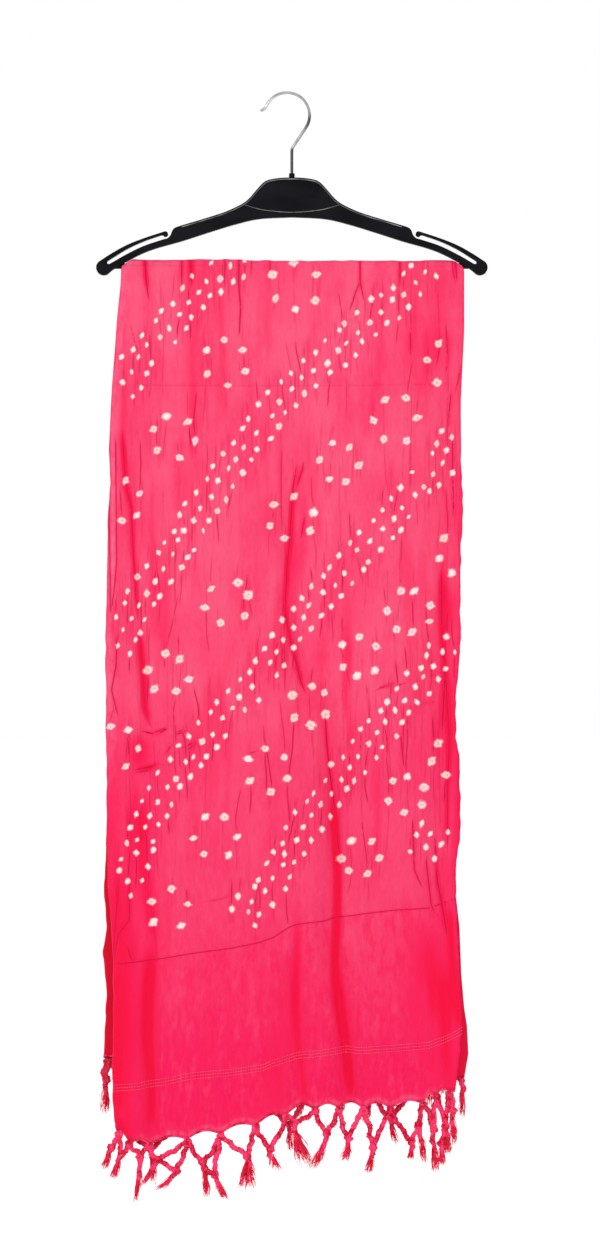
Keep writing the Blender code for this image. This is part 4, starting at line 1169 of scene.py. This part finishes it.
def listedFringe(shape, points, rng):
    knots = {name: hemPoint(shape, points, "outer", x) for name, x in frontKnots.items()}
    yarns, tails = [], []
    for name, x, fall, above, end, tip in lowerKnots:
        starts = [knots[upper] for upper in above]
        depth = sum(start.y for start in starts) / len(starts) + rng.uniform(-1, 1)
        knots[name] = here = Vector((x, depth, barZ - fall))
        yarns += [sagging(start, here, rng) for start in starts]
        tails.append((sagging(here, Vector((end[0], depth - 1, barZ - end[1])), rng), tip))
    return list(knots.values()), yarns, tails


def evenFringe(shape, points, layer, length, rng):
    tops = [hemPoint(shape, points, layer, x) for x in shape[layer + "Knots"]]
    knots, yarns, tails = list(tops), [], []
    for left, right in zip(tops, tops[1:]):
        if right.x - left.x > fringeSizes["widest"]:
            continue
        here = (left + right) / 2 - Vector((rng.uniform(-3, 3), rng.uniform(-0.8, 0.8), 0))
        here.z = min(left.z, right.z) - rng.uniform(13, 24)
        tail = here - Vector((rng.uniform(-7, 7), 0, length * rng.uniform(0.55, 0.8)))
        knots.append(here)
        yarns += [sagging(left, here, rng), sagging(right, here, rng)]
        tails.append((sagging(here, tail, rng), 1.6 * rng.uniform(0.7, 1.6)))
    last = tops[-1]
    tails.append((sagging(last, last - Vector((0, 0, length * 0.8)), rng), 1.4))
    if layer == "outer":       # the bundle at the folded edge hangs free
        first = tops[0] + Vector((-4, 0, 0))
        low = first - Vector((-1.0, 0.5, 21))
        knots.append(low)
        yarns += [sagging(first, low, rng), sagging(tops[0], low, rng)]
        tails.append((sagging(low, low - Vector((1.5, 0, 34)), rng), 3.2))
    return knots, yarns, tails


def bent(points, count):
    # a smooth line through the middle point
    start, middle, end = points
    through = 2 * middle - (start + end) / 2
    return [start * (1 - t) ** 2 + through * 2 * t * (1 - t) + end * t * t
            for t in np.linspace(0, 1, count)]


def makeBand(name, points):
    # the rolled end of the cloth, just below its hem
    depths = np.linspace(-0.5, fringeSizes["rolled"], 5)
    lines = [points[:, -1] - np.array([0, 0, depth]) for depth in depths]
    mesh = gridMesh(name, np.stack(lines, axis=1))[0]
    return addWall(addPiece(name, mesh, yarnFinish), fringeSizes["bandWall"])


def frayTail(line, tip, rng, hairs, yarns, count):
    # the yarn's last stretch thins and opens into loose hairs, wider where the tail is bushy
    keep = 5 if tip > 5 else 6
    whole = bent(line, 10)
    shrink = np.append(np.ones(keep - 3), [0.9, 0.7, 0.35])
    yarns.append((whole[:keep], [fringeSizes["yarn"] * s for s in shrink], rng.uniform(0, 6.28)))
    run = (whole[-1] - whole[keep - 3]).length
    for hair in range(count):
        start = whole[rng.randint(keep - 4, keep - 1)]
        angle, reach = rng.uniform(0, 2 * math.pi), math.sqrt(rng.random())
        root = start + Vector((math.cos(angle), math.sin(angle), 0)) * 1.9 * reach
        goal = start + (whole[-1] - start) * rng.uniform(0.45, 1.12)
        spread = Vector((math.cos(angle) * (1.1 * tip + 1.8), math.sin(angle) * min(tip + 0.9, 3.6), 0))
        goal += spread * reach
        middle = root * 0.4 + goal * 0.6
        middle += Vector((rng.uniform(-1, 1), rng.uniform(-1, 1), rng.uniform(-1, 1))) * 0.07 * run
        thick = rng.uniform(*fringeSizes["hair"])
        hairs.append((bent([root, middle, goal], 6), [thick * s for s in (1.0, 1.0, 0.9, 0.8, 0.65, 0.4)],
                      rng.uniform(0, 60)))


def strayEnds(line, rng):
    # loose hairs that stand off a yarn
    for end in range(fringeSizes["strays"]):
        root = bent(line, 21)[rng.randint(1, 19)]
        angle, run = rng.uniform(0, 2 * math.pi), rng.uniform(3.5, 6.5)
        goal = root + Vector((math.cos(angle) * run, 0.4 * math.sin(angle) * run, -rng.uniform(1, 9)))
        middle = (root + goal) / 2 + Vector((rng.uniform(-1, 1), 0, rng.uniform(0, 2.5)))
        yield bent([root, middle, goal], 5), [0.26, 0.24, 0.22, 0.19, 0.12], rng.uniform(0, 60)


def makeYarnFinish(name, light, dark, fibreHighlight=(0.78, 0.13, 0.23, 1)):
    finish, tree, shader = newFinish(name, {"Specular IOR Level": 0.0})
    place = bodyPlace(tree)
    fibres = cloud(tree, place, 900.0, 2.0, stretch=(1.0, 1.0, 0.35))
    # partly uneven dye and partly painted highlight and shade along the twist: lighter and darker stretches
    colour = tint(tree, between(tree, cloud(tree, place, 90.0, 2.0), 0.40, 0.60), light, dark)
    # painted highlight: paler pink on the raised fibres
    colour = tint(tree, between(tree, fibres, 0.45, 0.70, 0.0, 0.6), colour, fibreHighlight)
    dress(tree, shader, colour, between(tree, fibres, 0.3, 0.7, 0.74, 0.9), fibres, 0.0004, 0.7)
    return finish


yarnFinish = makeYarnFinish("fringeYarn", (0.80, 0.030, 0.125, 1), (0.50, 0.0006, 0.022, 1))
# painted light: a brighter copy of the yarn's reds, which offsets the shade in the thin hairs
brightHairFinish = makeYarnFinish("fringeHairBrightened", (0.90, 0.014, 0.080, 1), (0.76, 0.0012, 0.028, 1))
# painted shade: a darker copy of the yarn for the back panel's fringe, which hangs in shade
shadedBackYarnFinish = makeYarnFinish("backFringeYarnShaded", (0.64, 0.0144, 0.068, 1), (0.496, 0.0048, 0.028, 1))
stitchFinish = makeYarnFinish("seamThread", (0.76, 0.112, 0.220, 1), (0.75, 0.075, 0.17, 1))
yarnTree, hairTree, knotTree, stitchTree = makeYarnTree(3), makeHairTree(), makeKnotTree(), makeStitchTree()


def makeFringe(name, shape, points, seed, finish, node):
    rng = random.Random(seed)
    if shape is frontShape:
        knots, yarns, tails = listedFringe(shape, points, rng)
    else:
        knots, yarns, tails = evenFringe(shape, points, "outer", fringeSizes["backTail"], rng)
    innerKnots, innerYarns, innerTails = evenFringe(shape, points, "inner", fringeSizes["innerTail"], rng)

    hairRng = random.Random(seed + 100)
    width = fringeSizes["yarn"]
    chains = [(bent(line, 7), [width] * 7, hairRng.uniform(0, 6.28)) for line in yarns + innerYarns]
    hairs = [hair for line in yarns for hair in strayEnds(line, hairRng)]
    for line, tip in tails:
        frayTail(line, tip, hairRng, hairs, chains, fringeSizes["bushyHairs" if tip > 5 else "tailHairs"])
    for line, tip in innerTails:
        frayTail(line, tip, hairRng, hairs, chains, fringeSizes["innerHairs"])
    spots = [([knot], [fringeSizes["knot"] / mm], 0) for knot in knots]
    spots += [([knot], [fringeSizes["innerKnot"] / mm], 0) for knot in innerKnots]
    made = [
        growTree(chainMesh(name + "Yarns", chains), yarnTree, Finish=finish),
        growTree(chainMesh(name + "Hairs", hairs), hairTree, Finish=brightHairFinish),
        growTree(chainMesh(name + "Knots", spots), knotTree, Finish=finish),
        makeBand(name + "Band", points),
    ]
    counts = [len(piece.data.polygons) for piece in made]
    fringe = joinPieces(name, made)
    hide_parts(node)
    print(name, "made: yarns, hairs, knots and band have", counts, "faces")
    return fringe


frontFringe = makeFringe("fringeFront", frontShape, frontPoints, fringeSizes["frontSeed"], yarnFinish,
                         "fringe_front")
backFringe = makeFringe("fringeBack", backShape, backPoints, fringeSizes["backSeed"], shadedBackYarnFinish,
                        "fringe_back")


# Three stitched lines above each hem.
stitchSizes = dict(rows=(-3.3, 0.0, 3.3), lift=0.55)


def makeStitches(name, shape, points, travel):
    outer, falls = points[:shape["outerColumns"]], travel[:shape["outerColumns"]]
    chains = []
    for shift in stitchSizes["rows"]:
        line = []
        for column, fall in zip(outer, falls):
            goal = np.interp(column[-1, 0], *np.array(shape["stitch"], dtype=float).T) + shift
            place = [np.interp(goal, fall, column[:, k]) for k in range(3)]
            place[1] += shape["side"] * stitchSizes["lift"]
            line.append(Vector(place))
        chains.append((line, [1] * len(line), 0))
    stitches = growTree(chainMesh(name, chains), stitchTree, Finish=stitchFinish)
    print(name, "made:", len(stitches.data.polygons), "faces")
    return stitches


frontStitches = makeStitches("stitchesFront", frontShape, frontPoints, frontTravel)
backStitches = makeStitches("stitchesBack", backShape, backPoints, backTravel)


# The hanger. Its left half is listed as (x, z) and mirrored.
hangerSizes = dict(thick=10.0, edgeRound=0.9, barRadius=3.0, barHalf=190.6, barChamfer=0.6, fit=0.3,
                   socket=20.0, collarRadius=3.1, collarTop=-84.6, collarFoot=-92.0, rim=0.5, rimInset=1.7,
                   panelRim=0.36)
hookSizes = dict(wire=1.65, radius=24.1, bend=-58.4, foot=-100.0, sides=24)
upperEdge = [(0, -89.2), (-12, -89.7), (-23.4, -91.4), (-30, -94.4), (-36.5, -101), (-44.8, -110.6),
             (-53, -117.3), (-70.4, -125.6), (-93, -133), (-117.9, -140.4)]
notch = [(-117.9, -140.4), (-124.6, -142.8), (-127.7, -145.9), (-129.6, -150.8), (-132.8, -154.2)]
slotLower = [(-132.8, -154.2), (-140, -156.2), (-158.4, -162.4), (-176.9, -171.4), (-194.8, -181.6)]
slotEnd = [(-194.8, -181.6), (-197.2, -181.2), (-196.9, -178.6)]
slotUpper = [(-196.9, -178.6), (-176.9, -166.2), (-158.4, -157.5), (-140.4, -151.2)]
ballTip = dict(x=-135.1, z=-149.6, radius=2.9, first=205, last=465)
fingerEdge = [(-135.9, -146.8), (-158.4, -154.2), (-176.9, -161.6), (-193.4, -170.8), (-204.5, -178.0)]
armEnd = dict(x=-200.9, z=-185.4, radius=8.2, first=116, last=296)
underside = [(-197.3, -192.8), (-187.9, -185.6), (-164.6, -172.8), (-146.2, -165.3), (-117.9, -157.3),
             (-90, -148.3), (-59.3, -139), (-34, -133.4), (0, -131.6)]
panelEdge = [(-50.6, -118.5), (-38.5, -122.2), (-26, -124.6), (0, -126.6), (26, -124.6), (38.5, -122.2),
             (50.6, -118.5)]


def smoothRun(points, steps):
    pts = [Vector(p) for p in points]
    pts = [2 * pts[0] - pts[1]] + pts + [2 * pts[-1] - pts[-2]]
    out = []
    for k in range(1, len(pts) - 2):
        a, b, c, d = pts[k - 1:k + 3]
        for s in range(steps):
            t = s / steps
            out.append(0.5 * (2 * b + (c - a) * t + (2 * a - 5 * b + 4 * c - d) * t ** 2
                              + (3 * b - a - 3 * c + d) * t ** 3))
    return out + [pts[-2]]


def arcPoints(arc, steps):
    angles = np.radians(np.linspace(arc["first"], arc["last"], steps))
    return [Vector((arc["x"] + arc["radius"] * math.cos(a), arc["z"] + arc["radius"] * math.sin(a)))
            for a in angles]


def hangerOutline(steps=6):
    half = smoothRun(upperEdge, steps) + smoothRun(notch, steps)[1:] + smoothRun(slotLower, steps)[1:]
    half += smoothRun(slotEnd, 3)[1:] + smoothRun(slotUpper, steps)[1:]
    half += arcPoints(ballTip, 18) + smoothRun(fingerEdge, steps) + arcPoints(armEnd, 22)
    half += smoothRun(underside, steps)
    left = half[1:-1]
    return [half[0]] + left + [half[-1]] + [Vector((-p.x, p.y)) for p in reversed(left)]


def outlineMesh(name, outline, thick):
    curve = bpy.data.curves.new(name, 'CURVE')
    curve.dimensions = '2D'
    curve.fill_mode = 'BOTH'
    curve.extrude = thick / 2 * mm
    spline = curve.splines.new('POLY')
    spline.points.add(len(outline) - 1)
    for point, p in zip(spline.points, outline):
        point.co = (p.x * mm, p.y * mm, 0, 1)
    spline.use_cyclic_u = True
    flat = bpy.data.objects.new(name, curve)
    bpy.context.scene.collection.objects.link(flat)
    mesh = plainMesh(flat, name)
    mesh.uv_layers.remove(mesh.uv_layers[0])       # a filled curve's own map isn't used, and it varies
    bpy.data.objects.remove(flat, do_unlink=True)
    bm = bmesh.new()
    bm.from_mesh(mesh)
    bmesh.ops.remove_doubles(bm, verts=bm.verts, dist=1e-5)
    bmesh.ops.recalc_face_normals(bm, faces=bm.faces)
    bm.to_mesh(mesh)
    bm.free()
    mesh.transform(Matrix.Translation((centreX * mm, 0, 0)) @ Matrix.Rotation(math.radians(90), 4, 'X'))
    return mesh


def rod(name, radius, length, place, sides, turn=None):
    bm = bmesh.new()
    bmesh.ops.create_cone(bm, cap_ends=True, segments=sides, radius1=radius * mm, radius2=radius * mm,
                          depth=length * mm)
    mesh = bpy.data.meshes.new(name)
    bm.to_mesh(mesh)
    bm.free()
    if turn:
        mesh.transform(turn)
    mesh.transform(Matrix.Translation(Vector(place) * mm + Vector((centreX * mm, 0, 0))))
    return addPiece(name, mesh)


def carve(piece, other, operation):
    mod = piece.modifiers.new(operation.lower(), 'BOOLEAN')
    mod.object, mod.operation, mod.solver = other, operation, 'EXACT'
    settle(piece)
    bpy.data.objects.remove(other, do_unlink=True)


def tubeMesh(name, points, radii, sides):
    # a round tube along points that lie in one upright plane, closed at both ends
    points = [Vector(p) for p in points]
    rings = []
    for k, point in enumerate(points):
        ahead = points[min(k + 1, len(points) - 1)] - points[max(k - 1, 0)]
        ahead.normalize()
        side = ahead.cross(Vector((0, 1, 0))).normalized()
        top = side.cross(ahead)
        rings.append([point + (side * math.cos(a) + top * math.sin(a)) * radii[k]
                      for a in np.linspace(0, 2 * math.pi, sides, endpoint=False)])
    bm = bmesh.new()
    verts = [[bm.verts.new(toWorld(p)) for p in ring] for ring in rings]
    for low, high in zip(verts, verts[1:]):
        for k in range(sides):
            bm.faces.new((low[k], low[(k + 1) % sides], high[(k + 1) % sides], high[k]))
    bm.faces.new(verts[0][::-1])
    bm.faces.new(verts[-1])
    bmesh.ops.recalc_face_normals(bm, faces=bm.faces)
    mesh = bpy.data.meshes.new(name)
    bm.to_mesh(mesh)
    bm.free()
    mesh.shade_smooth()
    mesh.set_sharp_from_angle(angle=math.radians(50))
    return mesh


def makePlasticFinish():
    finish, tree, shader = newFinish("hangerPlastic", {"Specular IOR Level": 0.06})
    place = bodyPlace(tree)
    grain = cloud(tree, place, 1400.0, 2.0)
    smear = cloud(tree, place, 26.0, 3.0, stretch=(0.5, 1.0, 1.6))
    colour = tint(tree, between(tree, smear, 0.35, 0.7), (0.0022, 0.0021, 0.0036, 1),
                  (0.0048, 0.0046, 0.0068, 1))
    colour = tint(tree, between(tree, grain, 0.5, 0.8, 0.0, 0.25), colour, (0.010, 0.010, 0.013, 1))
    height = calc(tree, 'ADD', grain, calc(tree, 'MULTIPLY', smear, 1.5))
    dress(tree, shader, colour, between(tree, smear, 0.3, 0.75, 0.34, 0.50), height, 0.00012, 0.5)
    return finish


def makeChromeFinish():
    # painted reflection: the base colour is banded light and dark, and darker on the shank and at the
    # hook's right side, where the chrome would mirror dark surroundings
    finish, tree, shader = newFinish("hookChrome", {"Metallic": 1.0})
    place = bodyPlace(tree)
    drawn = cloud(tree, place, 500.0, 2.0, stretch=(1.0, 1.0, 0.2))
    reflectionBands = between(tree, cloud(tree, place, 34.0, 2.0), 0.42, 0.60)
    height = addNode(tree, "ShaderNodeSeparateXYZ", {0: place}).outputs[2]
    shankDarkReflection = between(tree, height, -0.0568, -0.0600)
    side = between(tree, calc(tree, 'ABSOLUTE', calc(tree, 'ADD', height, 0.029)), 0.017, 0.002)
    colour = tint(tree, reflectionBands, (0.26, 0.26, 0.27, 1), (0.52, 0.52, 0.54, 1))
    colour = tint(tree, calc(tree, 'MAXIMUM', shankDarkReflection, side), colour, (0.058, 0.058, 0.062, 1))
    dress(tree, shader, colour, between(tree, drawn, 0.3, 0.7, 0.10, 0.22), drawn, 0.00003, 0.4)
    return finish


def makeRimHighlightFinish():
    # painted highlight: the beads are lighter grey where the real edges catch the light
    finish, tree, shader = newFinish("rimPaintedHighlight", {})
    rimHighlightNoise = cloud(tree, bodyPlace(tree), 60.0, 3.0)
    colour = tint(tree, between(tree, rimHighlightNoise, 0.35, 0.65), (0.05, 0.05, 0.055, 1), (0.20, 0.20, 0.21, 1))
    dress(tree, shader, colour, between(tree, rimHighlightNoise, 0.3, 0.7, 0.26, 0.42), rimHighlightNoise, 0.0001, 0.3)
    return finish


plastic = makePlasticFinish()
rimHighlightPlastic = makeRimHighlightFinish()
chrome = makeChromeFinish()


def rimLine(points, inset):
    # a line inset from the edge that the points follow
    line = []
    for k, point in enumerate(points):
        ahead = points[min(k + 1, len(points) - 1)] - points[max(k - 1, 0)]
        line.append(point + Vector((ahead.y, -ahead.x)).normalized() * inset)
    return line


def makeHanger():
    sizes = hangerSizes
    body = addPiece("hangerBody", outlineMesh("hangerBody", hangerOutline(), sizes["thick"]))
    edges = body.modifiers.new("edges", 'BEVEL')
    edges.width = sizes["edgeRound"] * mm
    edges.segments = 3
    edges.limit_method = 'ANGLE'
    edges.angle_limit = math.radians(60)
    settle(body)
    height = sizes["collarTop"] - sizes["collarFoot"]
    collar = rod("collar", sizes["collarRadius"], height, (0, 0, sizes["collarFoot"] + height / 2), 40)
    carve(body, collar, 'UNION')
    foot = hookSizes["foot"] - sizes["fit"]
    depth = sizes["collarTop"] - foot + 2
    bore = rod("bore", hookSizes["wire"] + sizes["fit"], depth, (0, 0, foot + depth / 2), 32)
    carve(body, bore, 'DIFFERENCE')
    turn = Matrix.Rotation(math.radians(90), 4, 'Y')
    for side in (-1, 1):
        at = side * (sizes["barHalf"] + sizes["fit"] - sizes["socket"] / 2)
        socket = rod("socket", sizes["barRadius"] + sizes["fit"], sizes["socket"], (at, 0, barZ), 32, turn)
        carve(body, socket, 'DIFFERENCE')
    body.data.materials.clear()
    body.data.materials.append(plastic)
    body.data.shade_smooth()
    body.data.set_sharp_from_angle(angle=math.radians(35))

    # painted highlight: lighter lines along the upper edge and round the middle panel, where the edges
    # catch the light
    left = smoothRun(upperEdge, 5)
    whole = [Vector((-p.x, p.y)) for p in left[::-1]] + left[1:]
    beads = []
    for name, line, radius in (("rimBead", rimLine(whole[::-1], sizes["rimInset"]), sizes["rim"]),
                               ("panelBead", smoothRun(panelEdge, 6), sizes["panelRim"])):
        points = [(p.x, -sizes["thick"] / 2 - 0.02, p.y) for p in line]
        beads.append(addPiece(name, tubeMesh(name, points, [radius] * len(points), 8), rimHighlightPlastic))
    body = joinPieces("hangerBody", [body] + beads)
    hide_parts("hanger_body")
    print("hangerBody made:", len(body.data.polygons), "faces")
    return body


def makeBar():
    half, radius, chamfer = (hangerSizes[key] for key in ("barHalf", "barRadius", "barChamfer"))
    points = [(x, 0, barZ) for x in (-half, chamfer - half, half - chamfer, half)]
    radii = [radius - chamfer, radius, radius, radius - chamfer]
    bar = addPiece("hangerBar", tubeMesh("hangerBar", points, radii, 32), plastic)
    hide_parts("hanger_bar")
    print("hangerBar made:", len(bar.data.polygons), "faces")
    return bar


def makeHook():
    wire, radius, bendZ = hookSizes["wire"], hookSizes["radius"], hookSizes["bend"]
    centre = Vector((-centreX, wire - radius))
    foot = Vector((0, bendZ)) - centre
    leave = math.atan2(foot.y, foot.x) + math.acos(radius / foot.length)
    circle = [centre + radius * Vector((math.cos(a), math.sin(a)))
              for a in np.linspace(math.radians(154), leave, 64)]
    flick = smoothRun([(-32.4, -17.2), (-30.6, -16.4), (-28.4, -14.6), tuple(circle[0])], 5)[:-1]
    bend = smoothRun([tuple(circle[-1]), (1.5, bendZ + 2.2), (0.3, bendZ - 0.5), (0, bendZ - 4)], 6)[1:]
    route = flick + circle + bend + [Vector((0, hookSizes["foot"]))]
    tip = (route[0] - route[1]).normalized()
    cap = [(route[0] + tip * wire * s, wire * math.sqrt(max(1 - s * s, 0.02)))
           for s in (0.97, 0.85, 0.6, 0.3)]
    line = [p for p, r in cap] + route
    radii = [r for p, r in cap] + [wire] * len(route)
    hook = addPiece("hangerHook", tubeMesh("hangerHook", [(p.x, 0, p.y) for p in line], radii,
                                           hookSizes["sides"]), chrome)
    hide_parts("hanger_hook")
    print("hangerHook made:", len(hook.data.polygons), "faces")
    return hook


hangerBody, hangerBar, hangerHook = makeHanger(), makeBar(), makeHook()


# Each piece with the name of its slot; every piece rides on the root.
pieceSlots = [
    (frontCloth, "stole_cloth"), (backCloth, "stole_cloth"), (frontFringe, "fringe_yarn"),
    (backFringe, "fringe_yarn"), (frontStitches, "stole_cloth"), (backStitches, "stole_cloth"),
    (hangerBody, "hanger_plastic"), (hangerBar, "hanger_plastic"), (hangerHook, "hook_chrome"),
]
for piece, slotName in pieceSlots:
    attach(piece, "root")


# Floor, lights and camera, in metres and watts, and the camera's film in mm.
studio = dict(floor=-1.42, half=60.0, middle=(0.0, 0.0, -0.6), air=1.0)
panels = [   # name, place, size, watts
    ("keyPanel", (-1.9, -3.2, 0.9), 1.4, 34),
    ("fillPanel", (2.2, -3.2, -0.3), 2.4, 11),
    ("topPanel", (0.2, -0.6, 1.9), 1.8, 12),
    ("rearPanel", (1.4, 3.2, 0.7), 1.6, 26),
]
view = dict(distance=6.0, x=0.0138, z=-0.5592, height=1.3198, film=36)


def makeFloor():
    half, floor = studio["half"], studio["floor"]
    mesh = bpy.data.meshes.new("paleFloor")
    corners = [(x, y, floor) for x, y in ((-half, -half), (half, -half), (half, half), (-half, half))]
    mesh.from_pydata(corners, [], [(0, 1, 2, 3)])
    finish, tree, shader = newFinish("floorPaper", {"Roughness": 0.9, "Emission Color": (1, 1, 1, 1),
                                                    "Emission Strength": 0.12})
    soft = cloud(tree, bodyPlace(tree), 3.0, 2.0)
    putInputs(shader, {"Base Color": tint(tree, soft, (0.95, 0.95, 0.95, 1), (0.98, 0.98, 0.98, 1))})
    addPiece("paleFloor", mesh, finish)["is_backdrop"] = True


def addLight(name, place, size, watts):
    data = bpy.data.lights.new(name, 'AREA')
    data.shape = 'SQUARE'
    data.size = size
    data.energy = watts
    light = bpy.data.objects.new(name, data)
    light.location = place
    light.rotation_mode = 'QUATERNION'
    light.rotation_quaternion = (Vector(studio["middle"]) - Vector(place)).to_track_quat('-Z', 'Y')
    bpy.context.scene.collection.objects.link(light)


def makeStudio():
    makeFloor()
    for panel in panels:
        addLight(*panel)
    world = bpy.data.worlds.new("studioAir")
    world.use_nodes = True
    putInputs(world.node_tree.nodes["Background"], {"Color": (1.0, 1.0, 1.0, 1), "Strength": studio["air"]})
    bpy.context.scene.world = world
    bpy.context.scene.view_settings.view_transform = 'Standard'   # clean whites and saturated dye


def makeCamera():
    data = bpy.data.cameras.new("camera")
    data.sensor_width = view["film"]
    data.lens = view["film"] * view["distance"] / view["height"]
    data.clip_end = 40
    camera = bpy.data.objects.new("camera", data)
    camera.location = (view["x"], -view["distance"], view["z"])
    camera.rotation_euler = (math.radians(90), 0, 0)
    bpy.context.scene.collection.objects.link(camera)
    bpy.context.scene.camera = camera


makeStudio()
makeCamera()
print("studio ready")

[[list(map(float, corner)) for corner in box] for box in (cadBox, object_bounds())]
